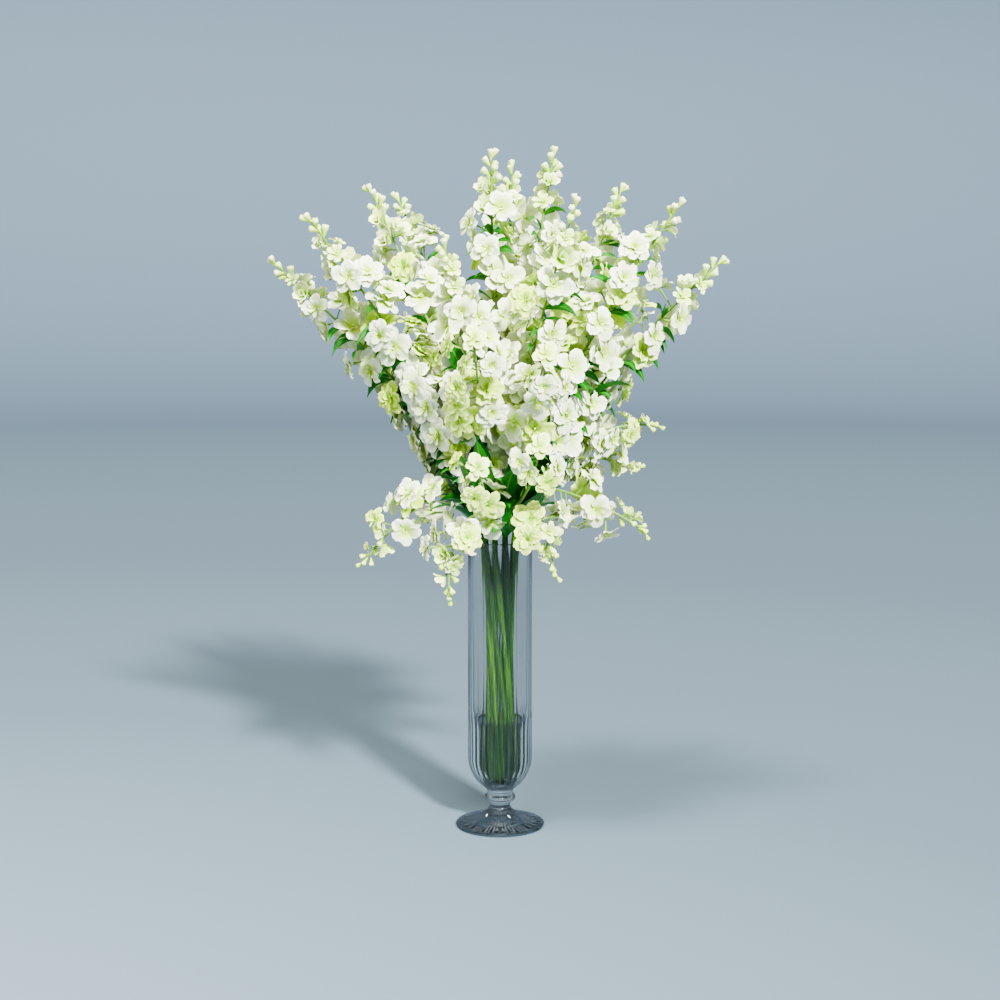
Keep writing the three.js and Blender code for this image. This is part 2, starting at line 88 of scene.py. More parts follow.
# For the first and the last flower of each kind on a raceme: radius, stalk and lean in degrees.
FLOWERS = {
    "open": {"radius": (28.5, 26), "stalk": (25, 20), "lean": (66, 66)},
    "half": {"radius": (15, 11.25), "stalk": (18, 14), "lean": (58, 58)},
    "bud": {"radius": (5.4, 4.05), "stalk": (14, 9), "lean": (52, 36)},
}
BUD_LENGTH = 15
BUDS = 3
OPEN_PITCH = 27
SPIKE_TIP = 76
SHOOT_TIP = 58
GOLDEN_ANGLE = 137.50776

LEAF_LENGTH = 78
LEAF_WIDTH = 17
LEAF_THICKNESS = 0.7
LEAF_HEIGHTS, LEAF_TURNS = (418, 464), (-20, 24)  # of the two lowest leaves of an outer stem
NECK_LEAVES = 6  # more of them on each outer stem, among the lowest flowers
NECK_LEAF_HEIGHTS = (430, 600)
HUGGING_LEAF_HEIGHTS = (402, 424, 448)
NECK_LEAF_LENGTHS = (64, 96)
NECK_LEAF_ROOM = 5  # the least room for one, with what leaning outwards counts for
NECK_LEAF_OUTWARD = 14  # and how much that is
HUGGING_LEAF_LENGTHS = (78, 112)
NECK_LEAF_WIDTH, HUGGING_LEAF_WIDTH = 0.24, 0.26  # of their lengths

# Each stem's spike: the place of its tip, and the height where its flowers begin.
STEMS = [
    ((311, 30, 788), 492),
    ((177, 130, 895), 500),
    ((17, 190, 933), 495),
    ((-154, 200, 886), 500),
    ((-183, 50, 888), 510),
    ((-312, -20, 784), 490),
    ((-252, -110, 839), 492),
    ((-72, -150, 806), 480),
    ((99, -150, 858), 480),
    ((243, -60, 861), 494),
    ((-12, -20, 929), 570),
    ((75, 20, 936), 570),
]

# Side shoots: the stem that bears each one, the height where it leaves, the point that it bends
# towards, and its tip.
SIDE_SHOOTS = [
    (0, 520, (130, 22, 560), (223, 40, 556)),
    (1, 486, (112, 62, 530), (202, 108, 486)),
    (9, 480, (112, -58, 476), (200, -62, 416)),
    (8, 446, (58, -118, 474), (72, -128, 362)),
    (7, 440, (-72, -122, 458), (-66, -124, 330)),
    (5, 476, (-122, -42, 466), (-188, -42, 368)),
    (7, 424, (-16, -92, 462), (-30, -178, 520)),
    (8, 438, (46, -84, 470), (50, -176, 548)),
    (7, 540, (-24, -160, 600), (-34, -205, 684)),
    (8, 540, (44, -150, 590), (58, -205, 664)),
    (2, 520, (-16, 150, 590), (-30, 250, 716)),
    (1, 540, (96, 140, 590), (165, 215, 690)),
    (3, 520, (-90, 120, 560), (-210, 165, 690)),
    (3, 470, (-76, 112, 500), (-118, 158, 402)),
    (2, 460, (44, 112, 496), (64, 160, 396)),
]

# Broad leaves that stand out at the front of the neck: the stem that bears each one, the height
# where it leaves, the point that it bends towards, its tip and its width.
FRONT_LEAVES = [
    (7, 440, (-40, -78, 488), (-52, -122, 528), 27),
    (8, 440, (6, -84, 484), (20, -126, 512), 24),
    (8, 424, (44, -62, 468), (86, -92, 486), 21),
    (6, 416, (-50, -54, 452), (-84, -88, 462), 22),
    (7, 410, (-26, -66, 438), (-54, -108, 430), 25),
    (8, 406, (8, -66, 432), (-10, -110, 424), 26),
    (9, 424, (68, -52, 474), (96, -72, 520), 22),
    (7, 452, (-24, -104, 500), (-30, -140, 548), 28),
    (8, 452, (26, -104, 500), (48, -146, 540), 26),
]

# ---------------------------------------------------------------- small helpers


def mix(a, b, share):
    return a + (b - a) * share


def chance(i, j):
    """A repeatable number from 0 to 1 for each pair of whole numbers."""
    wave = math.sin(i * 12.9898 + j * 78.233) * 43758.5453
    return wave - math.floor(wave)


def vec(*values):
    return np.array(values, dtype=float)


def unit(v):
    return v / np.linalg.norm(v)


def across(along):
    """Two directions square to `along` and to each other."""
    side = unit(np.cross(along, vec(0, 1, 0)))
    return side, unit(np.cross(side, along))


def on_ring(radius, degrees, height):
    """A point of a level ring round the bunch's axis."""
    turn = math.radians(degrees)
    return vec(radius * math.cos(turn), radius * math.sin(turn), height)


def ring(centre, along, sides, radius, lift):
    """Points round `centre`, square to `along` and raised by `lift` that way."""
    side, other = across(along)
    turns = [2 * math.pi * i / sides for i in range(sides)]
    return np.array([
        centre + side * radius * math.cos(t) + other * radius * math.sin(t) + along * lift
        for t in turns
    ])


def outwards(point):
    """The level direction from the bunch's axis to a point."""
    return unit(vec(point[0], point[1], 0))


class Arch:
    """A smooth curve from `start`, drawn towards `bend`, to `tip`; `t` runs from 0 to 1."""

    def __init__(self, start, bend, tip):
        self.start, self.bend, self.tip = vec(*start), vec(*bend), vec(*tip)

    def point(self, t):
        return (1 - t) ** 2 * self.start + 2 * (1 - t) * t * self.bend + t * t * self.tip

    def points(self, stations):
        return np.array([self.point(t) for t in stations])

    def tangent(self, t):
        before, after = max(t - 0.0001, 0), min(t + 0.0001, 1)
        return unit(self.point(after) - self.point(before))

    def where_high(self, height):
        low, high = 0.0, 1.0
        for _ in range(40):
            middle = (low + high) / 2
            if self.point(middle)[2] < height:
                low = middle
            else:
                high = middle
        return low


# ---------------------------------------------------------------- meshes


def new_object(name, mesh):
    piece = bpy.data.objects.new(name, mesh)
    bpy.context.scene.collection.objects.link(piece)
    return piece


def mesh_piece(name, points, faces, values=None, edges=(), scale=MM):
    """A new mesh object. `values` are numbers for each point, kept as attributes, but `rim`
    only says between which points an edge is crisp."""
    mesh = bpy.data.meshes.new(name)
    mesh.from_pydata((np.asarray(points) * scale).tolist(), edges, faces)
    for key, numbers in (values or {}).items():
        numbers = np.asarray(numbers)
        if key == "rim":
            ends = np.empty(2 * len(mesh.edges), dtype=np.int32)
            mesh.edges.foreach_get("vertices", ends)
            crisp = (numbers[ends.reshape(-1, 2)] == 1).all(axis=1)
            mesh.edges.foreach_set("use_edge_sharp", crisp)
        elif numbers.ndim == 2:
            layer = mesh.attributes.new(key, "FLOAT_VECTOR", "POINT")
            layer.data.foreach_set("vector", numbers.astype(np.float32).ravel())
        elif numbers.dtype.kind == "i":
            layer = mesh.attributes.new(key, "INT", "POINT")
            layer.data.foreach_set("value", numbers.astype(np.int32))
        else:
            layer = mesh.attributes.new(key, "FLOAT", "POINT")
            layer.data.foreach_set("value", numbers.astype(np.float32))
    mesh.polygons.foreach_set("use_smooth", [True] * len(mesh.polygons))
    mesh.update()
    return new_object(name, mesh)


def thin_sheet(grid, thickness):
    """A closed thin sheet over a grid of points: its points, faces and each point's values.

    The two sides meet in a crisp edge, whose points have a `rim` value of one.
    """
    rows, columns = grid.shape[:2]
    normal = np.cross(np.gradient(grid, axis=0), np.gradient(grid, axis=1))
    normal /= np.linalg.norm(normal, axis=2, keepdims=True) + 1e-12
    row, column = np.indices((rows, columns))
    rim = (row == 0) | (row == rows - 1) | (column == 0) | (column == columns - 1)
    offset = normal * np.where(rim, 0.0, thickness / 2)[..., None]
    top = np.arange(rows * columns).reshape(rows, columns)
    bottom = top.copy()
    bottom[~rim] = rows * columns + np.arange(np.count_nonzero(~rim))
    points = np.concatenate([(grid + offset).reshape(-1, 3), (grid - offset)[~rim]])
    faces = []
    for r in range(rows - 1):
        for c in range(columns - 1):
            corners = [(r, c), (r + 1, c), (r + 1, c + 1), (r, c + 1)]
            faces.append([int(top[corner]) for corner in corners])
            faces.append([int(bottom[corner]) for corner in reversed(corners)])
    values = {"along": row / (rows - 1), "across": 2 * column / (columns - 1) - 1, "rim": rim * 1}
    values = {key: np.concatenate([v.ravel(), v[~rim]]) for key, v in values.items()}
    values["underside"] = (np.arange(len(points)) >= rows * columns).astype(float)
    return points, faces, values


def turned_piece(name, profile, segments, shift=None):
    """A closed turned shape from a profile that starts and ends on the axis.

    `shift` moves each point, and is given its radius, height, turn and place in the profile.
    """
    points = []
    faces = []
    turns = [2 * math.pi * s / segments for s in range(segments)]
    inner = profile[1:-1]
    for row, (radius, height) in enumerate(inner):
        for turn in turns:
            r, z = shift(radius, height, turn, row + 1) if shift else (radius, height)
            points.append((r * math.cos(turn), r * math.sin(turn), z))
    for row in range(len(inner) - 1):
        for s in range(segments):
            a, b = row * segments + s, row * segments + (s + 1) % segments
            faces.append([a, b, b + segments, a + segments])
    first, last = len(points), len(points) + 1
    points += [(0, 0, profile[0][1]), (0, 0, profile[-1][1])]
    top = (len(inner) - 1) * segments
    for s in range(segments):
        faces.append([first, (s + 1) % segments, s])
        faces.append([last, top + s, top + (s + 1) % segments])
    return mesh_piece(name, points, faces)


# ---------------------------------------------------------------- nodes

MATH, RANGE, MIX, NOISE = "ShaderNodeMath", "ShaderNodeMapRange", "ShaderNodeMix", "ShaderNodeTexNoise"

# Sockets that share their names with others go by their places on the node.
FLOAT_MIN, FLOAT_MAX, INT_MIN, INT_MAX = 2, 3, 4, 5  # the limits of a random value
RANDOM_FLOAT, RANDOM_INT = 1, 2
FACTOR, FIRST, SECOND = 0, 6, 7  # of a node that mixes colours
OF_COLOURS = {"gives": 2, "data_type": "RGBA"}


def connect(tree, node, inputs):
    """Links or sets each of a node's inputs that is given."""
    for key, value in inputs.items():
        socket = node.inputs[key]
        if isinstance(value, bpy.types.NodeSocket):
            tree.links.new(value, socket)
        else:
            socket.default_value = value


def add(tree, kind, inputs=None, gives=0, **settings):
    """Adds a node with its settings and links, and returns the output that is asked for."""
    node = tree.nodes.new(kind)
    for key, value in settings.items():
        setattr(node, key, value)
    connect(tree, node, inputs or {})
    return node.outputs[gives] if node.outputs else None


def new_tree(name, sockets):
    """A geometry tree with named inputs, and what its input node gives."""
    tree = bpy.data.node_groups.new(name, "GeometryNodeTree")
    tree.interface.new_socket("Geometry", in_out="INPUT", socket_type="NodeSocketGeometry")
    for label, kind in sockets.items():
        tree.interface.new_socket(label, in_out="INPUT", socket_type="NodeSocket" + kind)
    tree.interface.new_socket("Geometry", in_out="OUTPUT", socket_type="NodeSocketGeometry")
    return tree, tree.nodes.new("NodeGroupInput").outputs


def end_tree(tree, geometry, material):
    """Ends a geometry tree: its copies become real meshes, and they get their material."""
    real = add(tree, "GeometryNodeRealizeInstances", {"Geometry": geometry})
    done = add(tree, "GeometryNodeSetMaterial", {"Geometry": real, "Material": material})
    add(tree, "NodeGroupOutput", {"Geometry": done})
    return tree


def grown(carrier, tree, settings, name):
    """Runs a tree on a carrier, and gives what grows on it as a plain mesh object."""
    modifier = carrier.modifiers.new(tree.name, "NODES")
    modifier.node_group = tree
    for item in tree.interface.items_tree:
        if item.in_out == "INPUT" and item.name in settings:
            modifier[item.identifier] = settings[item.name]
    depsgraph = bpy.context.evaluated_depsgraph_get()
    mesh = bpy.data.meshes.new_from_object(
        carrier.evaluated_get(depsgraph), preserve_all_data_layers=True, depsgraph=depsgraph)
    carrier.modifiers.remove(modifier)
    bpy.data.objects.remove(carrier)
    mesh.name = name
    return new_object(name, mesh)


def stalk_tree():
    """Round stalks along every path of the carrier, as thick as its `thickness` says."""
    tree, given = new_tree("stalks", {"Sides": "Int", "Material": "Material"})
    paths = add(tree, "GeometryNodeMeshToCurve", {"Mesh": given["Geometry"]})
    section = add(tree, "GeometryNodeCurvePrimitiveCircle", {"Resolution": given["Sides"], "Radius": 1.0})
    thickness = add(tree, "GeometryNodeInputNamedAttribute", {"Name": "thickness"}, data_type="FLOAT")
    skin = add(tree, "GeometryNodeCurveToMesh", {
        "Curve": paths, "Profile Curve": section, "Scale": thickness, "Fill Caps": True,
    })
    return end_tree(tree, add(tree, "GeometryNodeSetShadeSmooth", {"Geometry": skin}), given["Material"])


def scatter_tree():
    """A form on each point of the carrier, by its `form`, `turn` and `size`."""
    tree, given = new_tree("forms_on_points", {"Forms": "Collection", "Material": "Material"})
    forms = add(tree, "GeometryNodeCollectionInfo", {
        "Collection": given["Forms"], "Separate Children": True, "Reset Children": True,
    })
    form, turn, size = (
        add(tree, "GeometryNodeInputNamedAttribute", {"Name": name}, data_type=kind)
        for name, kind in (("form", "INT"), ("turn", "FLOAT_VECTOR"), ("size", "FLOAT_VECTOR")))
    rotation = add(tree, "FunctionNodeEulerToRotation", {"Euler": turn})
    placed = add(tree, "GeometryNodeInstanceOnPoints", {
        "Points": given["Geometry"], "Instance": forms, "Pick Instance": True,
        "Instance Index": form, "Rotation": rotation, "Scale": size,
    })
    return end_tree(tree, placed, given["Material"])


def whorl_tree():
    """A ring of petals round the Z axis, each a little uneven."""
    tree, given = new_tree("whorl_of_petals", {
        "Petals": "Collection", "Kinds": "Int", "Count": "Int", "Turn": "Float", "Lean": "Float",
        "Roll": "Float", "Start": "Float", "Sink": "Float", "Size": "Vector", "Layer": "Float",
        "Unevenness": "Float", "Seed": "Int", "Material": "Material",
    })
    index = add(tree, "GeometryNodeInputIndex")
    share = add(tree, MATH, {0: index, 1: given["Count"]}, operation="DIVIDE")
    bearing = add(tree, MATH, {0: share, 1: 2 * math.pi, 2: given["Turn"]}, operation="MULTIPLY_ADD")
    uneven = []
    for offset, (even, spread) in enumerate([
        (bearing, 0.16), (given["Lean"], 0.16), (given["Roll"], 0.16), (1.0, 0.09),
    ]):
        seed = add(tree, MATH, {0: given["Seed"], 1: float(offset)}, operation="ADD")
        draw = add(tree, "FunctionNodeRandomValue", {
            FLOAT_MIN: -spread, FLOAT_MAX: spread, "Seed": seed,
        }, RANDOM_FLOAT, data_type="FLOAT")
        uneven.append(add(tree, MATH, {0: draw, 1: given["Unevenness"], 2: even}, operation="MULTIPLY_ADD"))
    angle, lean, roll, growth = uneven
    x, y = (
        add(tree, MATH, {0: add(tree, MATH, {0: angle}, operation=wave), 1: given["Start"]},
            operation="MULTIPLY")
        for wave in ("COSINE", "SINE"))
    place = add(tree, "ShaderNodeCombineXYZ", {0: x, 1: y, 2: given["Sink"]})
    points = add(tree, "GeometryNodePoints", {"Count": given["Count"], "Position": place, "Radius": 0.01})
    upwards = add(tree, MATH, {0: lean, 1: -1.0}, operation="MULTIPLY")
    euler = add(tree, "ShaderNodeCombineXYZ", {0: roll, 1: upwards, 2: angle})
    rotation = add(tree, "FunctionNodeEulerToRotation", {"Euler": euler})
    size = add(tree, "ShaderNodeVectorMath", {0: given["Size"], "Scale": growth}, "Vector", operation="SCALE")
    petals = add(tree, "GeometryNodeCollectionInfo", {
        "Collection": given["Petals"], "Separate Children": True, "Reset Children": True,
    })
    last_kind = add(tree, MATH, {0: given["Kinds"], 1: 1.0}, operation="SUBTRACT")
    kind = add(tree, "FunctionNodeRandomValue", {
        INT_MIN: 0, INT_MAX: last_kind, "Seed": given["Seed"],
    }, RANDOM_INT, data_type="INT")
    placed = add(tree, "GeometryNodeInstanceOnPoints", {
        "Points": points, "Instance": petals, "Pick Instance": True, "Instance Index": kind,
        "Rotation": rotation, "Scale": size,
    })
    layered = add(tree, "GeometryNodeStoreNamedAttribute", {
        "Geometry": placed, "Name": "layer", "Value": given["Layer"],
    }, data_type="FLOAT", domain="INSTANCE")
    return end_tree(tree, layered, given["Material"])


# ---------------------------------------------------------------- materials

# Sizes, in millimetres, that the patterns are worked out from.
PETAL_WIDTH = 22.7  # an outer petal, full-grown
PETAL_VEINS = 2.1  # from one vein of a petal to the next
PETAL_MOTTLE = 7.14
LEAF_VEINS = 6.53
LEAF_MOTTLE = 11.1
FIBRES = (2.38, 2.38, 111)  # how thick and how long a stem's fibres are, at their coarsest
STEM_PATCHES = 45.5
STALK_PATCHES = 16.7
GLASS_WAVES = 31.25
WATER_RIPPLE = 41.7

CLEAR_SHARE = 0.06  # of a lamp's light that goes through the glass and the water
FOOT_CLEAR_SHARE = 0.5  # through the thick foot, which gathers it


def colour(hex_value):
    """An sRGB hex value as linear red, green, blue and alpha."""
    channels = [int(hex_value[i:i + 2], 16) / 255 for i in (1, 3, 5)]
    linear = [c / 12.92 if c <= 0.04045 else ((c + 0.055) / 1.055) ** 2.4 for c in channels]
    return (*linear, 1.0)


def per_metre(size):
    """How often a pattern repeats in a metre, from the millimetres that one repeat takes."""
    return 1 / (size * MM)


def new_material(name, **shader):
    """A material with its Principled node's plain sockets set, its tree and that node."""
    material = bpy.data.materials.new(name)
    material.use_nodes = True
    tree = material.node_tree
    principled = tree.nodes["Principled BSDF"]
    for key, value in shader.items():
        principled.inputs[key.replace("_", " ")].default_value = value
    return material, tree, principled


def petal_material():
    """Delphinium petal: a thin, damp, satin sheet into which light sinks a little. Its rim is painted whiter,
    as light, and its blade greyer, as shade, which outlines each petal. Fine veins run from base to edge, and
    the throat is green."""
    material, tree, shader = new_material(
        "delphinium_petal", Roughness=0.6, IOR=1.35, Subsurface_Weight=0.03,
        Subsurface_Radius=(1.0, 1.0, 0.75), Subsurface_Scale=1 * MM,
    )
    along, sideways, layer, tint, underside = (
        add(tree, "ShaderNodeAttribute", gives="Fac", attribute_name=name)
        for name in ("along", "across", "layer", "tint", "underside"))
    place = add(tree, "ShaderNodeTexCoord", gives="Object")
    throat = add(tree, RANGE, {
        "Value": along, "From Min": 0.08, "From Max": 0.7, "To Min": 0.95, "To Max": 0.0,
    }, interpolation_type="SMOOTHSTEP")
    inner_throat = add(tree, MATH, {0: layer, 1: 0.35, 2: throat}, operation="MULTIPLY_ADD")
    open_side = add(tree, MATH, {0: underside, 1: -0.7, 2: 1.0}, operation="MULTIPLY_ADD")
    green = add(tree, MATH, {0: inner_throat, 1: open_side}, operation="MULTIPLY")
    away = add(tree, MATH, {0: sideways}, operation="ABSOLUTE")
    # Painted light and shade: the petal's sides and end are painted whiter and its blade greyer, so each
    # petal stands apart from the next.
    painted_light_side, painted_light_end = (
        add(tree, RANGE, {"Value": value, "From Min": low, "From Max": 1.0}, interpolation_type="SMOOTHSTEP")
        for value, low in ((away, 0.4), (along, 0.55)))
    rim = add(tree, MATH, {0: painted_light_side, 1: painted_light_end}, operation="MAXIMUM")
    mottle = add(tree, NOISE, {"Vector": place, "Scale": per_metre(PETAL_MOTTLE), "Detail": 3.0})
    # The blade's colour is painted shade and the rim's colour painted light; yellow florets get the same
    # painted light at their rims.
    blade = add(tree, MIX, {FACTOR: rim, FIRST: colour("#e4e9cf"), SECOND: colour("#fafce8")}, **OF_COLOURS)
    clean = add(tree, MIX, {FACTOR: green, FIRST: blade, SECOND: colour("#bcdc2c")}, **OF_COLOURS)
    sap = add(tree, MIX, {FACTOR: along, FIRST: colour("#a8d818"), SECOND: colour("#cdeb34")}, **OF_COLOURS)
    yellow = add(tree, MIX, {FACTOR: rim, FIRST: sap, SECOND: colour("#e8f67c")}, **OF_COLOURS)
    mixed = add(tree, MIX, {FACTOR: tint, FIRST: clean, SECOND: yellow}, **OF_COLOURS)
    waves = math.pi * PETAL_WIDTH / PETAL_VEINS
    vein = add(tree, MATH, {0: add(tree, MATH, {0: sideways, 1: waves}, operation="MULTIPLY")},
               operation="SINE")
    vein_line = add(tree, RANGE, {"Value": vein, "From Min": 0.35, "From Max": 1.0, "To Max": 0.06})
    veined = add(tree, MIX, {FACTOR: vein_line, FIRST: mixed, SECOND: colour("#c9d0a8")}, **OF_COLOURS)
    soft = add(tree, RANGE, {"Value": mottle, "From Min": 0.3, "From Max": 0.7, "To Max": 0.06})
    final = add(tree, MIX, {FACTOR: soft, FIRST: veined, SECOND: colour("#e6ead8")}, **OF_COLOURS)
    relief = add(tree, MATH, {0: vein, 1: 0.35, 2: mottle}, operation="MULTIPLY_ADD")
    bump = add(tree, "ShaderNodeBump", {"Height": relief, "Strength": 0.25, "Distance": 0.6 * MM})
    connect(tree, shader, {"Base Color": final, "Normal": bump})
    return material


def leaf_material():
    """Delphinium leaf: waxy and glossy, deep green, with a paler midrib and side veins."""
    material, tree, shader = new_material(
        "delphinium_leaf", Roughness=0.38, IOR=1.42, Subsurface_Weight=0.05,
        Subsurface_Radius=(0.3, 1.0, 0.2), Subsurface_Scale=1 * MM, Coat_Weight=0.05,
    )
    along, sideways = (
        add(tree, "ShaderNodeAttribute", gives="Fac", attribute_name=name) for name in ("along", "across"))
    place = add(tree, "ShaderNodeTexCoord", gives="Object")
    away = add(tree, MATH, {0: sideways}, operation="ABSOLUTE")
    midrib = add(tree, RANGE, {
        "Value": away, "From Min": 0.02, "From Max": 0.14, "To Min": 1.0, "To Max": 0.0,
    })
    slant = add(tree, MATH, {0: away, 1: -0.28, 2: along}, operation="MULTIPLY_ADD")
    waves = 2 * math.pi * LEAF_LENGTH / LEAF_VEINS
    side_vein = add(tree, MATH, {0: add(tree, MATH, {0: slant, 1: waves}, operation="MULTIPLY")},
                    operation="SINE")
    mottle = add(tree, NOISE, {"Vector": place, "Scale": per_metre(LEAF_MOTTLE), "Detail": 4.0})
    base = add(tree, MIX, {FACTOR: mottle, FIRST: colour("#094a0e"), SECOND: colour("#218018")}, **OF_COLOURS)
    vein_line = add(tree, RANGE, {"Value": side_vein, "From Min": 0.7, "From Max": 1.0, "To Max": 0.3})
    veined = add(tree, MIX, {FACTOR: vein_line, FIRST: base, SECOND: colour("#2f8a24")}, **OF_COLOURS)
    final = add(tree, MIX, {FACTOR: midrib, FIRST: veined, SECOND: colour("#569c30")}, **OF_COLOURS)
    relief = add(tree, MATH, {0: midrib, 1: 2.0, 2: side_vein}, operation="MULTIPLY_ADD")
    bump = add(tree, "ShaderNodeBump", {"Height": relief, "Strength": 0.35, "Distance": 0.4 * MM})
    connect(tree, shader, {"Base Color": final, "Normal": bump})
    return material


def stem_material():
    """Cut green stem: smooth waxy skin with fibres that run along it, drawn coarse enough to
    show. Some stems are painted darker than others, as shade."""
    material, tree, shader = new_material(
        "green_stem", Roughness=0.42, IOR=1.42, Subsurface_Weight=0.08,
        Subsurface_Radius=(0.5, 1.0, 0.3), Subsurface_Scale=2 * MM,
    )
    place = add(tree, "ShaderNodeTexCoord", gives="Object")
    stretched = add(tree, "ShaderNodeMapping", {
        "Vector": place, "Scale": tuple(per_metre(size) for size in FIBRES),
    })
    fibres = add(tree, NOISE, {"Vector": stretched, "Scale": 1.0, "Detail": 3.0})
    patches = add(tree, NOISE, {"Vector": place, "Scale": per_metre(STEM_PATCHES), "Detail": 2.0})
    painted_shade = add(tree, "ShaderNodeAttribute", gives="Fac", attribute_name="painted_shade")
    skin = add(tree, MIX, {
        FACTOR: patches, FIRST: colour("#347408"), SECOND: colour("#6ca41c"),
    }, **OF_COLOURS)
    # Painted shade: the darker stems stand for stems in the shade of others.
    base = add(tree, MIX, {FACTOR: painted_shade, FIRST: skin, SECOND: colour("#1b4a04")}, **OF_COLOURS)
    streak = add(tree, RANGE, {"Value": fibres, "From Min": 0.45, "From Max": 0.7, "To Max": 0.7})
    final = add(tree, MIX, {FACTOR: streak, FIRST: base, SECOND: colour("#24460c")}, **OF_COLOURS)
    bump = add(tree, "ShaderNodeBump", {"Height": fibres, "Strength": 0.3, "Distance": 0.5 * MM})
    connect(tree, shader, {"Base Color": final, "Normal": bump})
    return material


def rachis_material():
    """Young flower stalk: fresh yellow-green skin, slightly downy, so it has a soft sheen."""
    material, tree, shader = new_material(
        "young_stalk", Roughness=0.5, IOR=1.4, Subsurface_Weight=0.12,
        Subsurface_Radius=(0.6, 1.0, 0.3), Subsurface_Scale=1.5 * MM, Sheen_Weight=0.15,
    )
    place = add(tree, "ShaderNodeTexCoord", gives="Object")
    patches = add(tree, NOISE, {"Vector": place, "Scale": per_metre(STALK_PATCHES), "Detail": 3.0})
    skin = add(tree, MIX, {
        FACTOR: patches, FIRST: colour("#48761c"), SECOND: colour("#88ac3e"),
    }, **OF_COLOURS)
    bump = add(tree, "ShaderNodeBump", {"Height": patches, "Strength": 0.15, "Distance": 0.4 * MM})
    connect(tree, shader, {"Base Color": skin, "Normal": bump})
    return material


def lets_lamps_through(tree, shader, share):
    """Clear glass and water cast a light shadow: `share` of a lamp's light goes through."""
    shadow = add(tree, "ShaderNodeLightPath", gives="Is Shadow Ray")
    factor = add(tree, MATH, {0: shadow, 1: share}, operation="MULTIPLY")
    clear = add(tree, "ShaderNodeBsdfTransparent")
    both = add(tree, "ShaderNodeMixShader", {0: factor, 1: shader.outputs[0], 2: clear})
    connect(tree, tree.nodes["Material Output"], {"Surface": both})


def glass_material():
    """Pressed soda-lime glass, fire-polished: clear, faintly grey where seen along its wall, greyer in the
    thick foot, which also carries painted shade of the floor beneath it, with soft waves left by the mould."""
    material, tree, shader = new_material(
        "pressed_glass", Roughness=0.0, IOR=1.45, Transmission_Weight=1.0,
    )
    place = add(tree, "ShaderNodeTexCoord", gives="Object")
    height = add(tree, "ShaderNodeSeparateXYZ", {0: place}, "Z")
    facing = add(tree, "ShaderNodeLayerWeight", {"Blend": 0.5}, "Facing")
    grazing = add(tree, RANGE, {
        "Value": facing, "From Min": 0.4, "From Max": 0.95,
    }, interpolation_type="SMOOTHSTEP")
    # The foot is tinted darker grey: partly its thick glass, partly painted shade of the shadowed floor seen
    # through it.
    above_foot = add(tree, RANGE, {"Value": height, "From Min": 20 * MM, "From Max": 34 * MM})
    thick = add(tree, MIX, {
        FACTOR: above_foot, FIRST: colour("#8f9496"), SECOND: colour("#e8e9e9"),
    }, **OF_COLOURS)
    tone = add(tree, MIX, {FACTOR: grazing, FIRST: thick, SECOND: colour("#4b555c")}, **OF_COLOURS)
    waves = add(tree, NOISE, {"Vector": place, "Scale": per_metre(GLASS_WAVES), "Detail": 1.0})
    bump = add(tree, "ShaderNodeBump", {"Height": waves, "Strength": 0.06, "Distance": 0.8 * MM})
    connect(tree, shader, {"Base Color": tone, "Normal": bump})
    share = add(tree, RANGE, {
        "Value": height, "From Min": 20 * MM, "From Max": 50 * MM,
        "To Min": FOOT_CLEAR_SHARE, "To Max": CLEAR_SHARE,
    })
    lets_lamps_through(tree, shader, share)
    return material


def water_material():
    """Still tap water, clear, with the faintest ripple on it."""
    material, tree, shader = new_material(
        "clear_water", Roughness=0.0, IOR=1.333, Transmission_Weight=1.0, Base_Color=colour("#bfc4bf"),
    )
    place = add(tree, "ShaderNodeTexCoord", gives="Object")
    ripple = add(tree, NOISE, {"Vector": place, "Scale": per_metre(WATER_RIPPLE), "Detail": 0.0})
    bump = add(tree, "ShaderNodeBump", {"Height": ripple, "Strength": 0.05, "Distance": 0.5 * MM})
    connect(tree, shader, {"Normal": bump})
    lets_lamps_through(tree, shader, CLEAR_SHARE)
    return material


def studio_material():
    """Matt painted studio floor and wall, pale blue-grey, with painted light: brightest at one place on the
    floor, and darker, as painted shade, away from there and where the floor sweeps up."""
    material, tree, shader = new_material("studio_paint_and_painted_light", Roughness=0.9, Specular_IOR_Level=0.0)
    place = add(tree, "ShaderNodeTexCoord", gives="Object")
    # Painted light: the tone darkens with distance from one place on the floor and with height.
    from_painted_light = add(tree, "ShaderNodeVectorMath", {0: place, 1: PAINTED_LIGHT_CENTRE}, operation="SUBTRACT")
    x, y, height = add(tree, "ShaderNodeSeparateXYZ", {0: from_painted_light}).node.outputs
    level = add(tree, "ShaderNodeCombineXYZ", {0: x, 1: y})
    reach = add(tree, "ShaderNodeVectorMath", {0: level}, "Value", operation="LENGTH")
    distance = add(tree, MATH, {0: reach, 1: height}, operation="ADD")
    share = add(tree, MATH, {0: distance, 1: 1 / PAINTED_LIGHT_REACH}, operation="MULTIPLY")
    tone = add(tree, "ShaderNodeValToRGB", {0: share})
    elements = tone.node.color_ramp.elements
    elements.remove(elements[1])
    for number, (position, paint) in enumerate(PAINT_AND_PAINTED_LIGHT):
        element = elements[0] if number == 0 else elements.new(position)
        element.position = position
        element.color = colour(paint)
    connect(tree, shader, {"Base Color": tone})
    return material


# ---------------------------------------------------------------- vase and water


def arc(centre, radii, degrees, steps):
    """Points of an ellipse's arc, from the first to the last of `degrees`."""
    angles = [math.radians(mix(degrees[0], degrees[1], i / steps)) for i in range(steps + 1)]
    return [(centre[0] + radii[0] * math.cos(a), centre[1] + radii[1] * math.sin(a)) for a in angles]


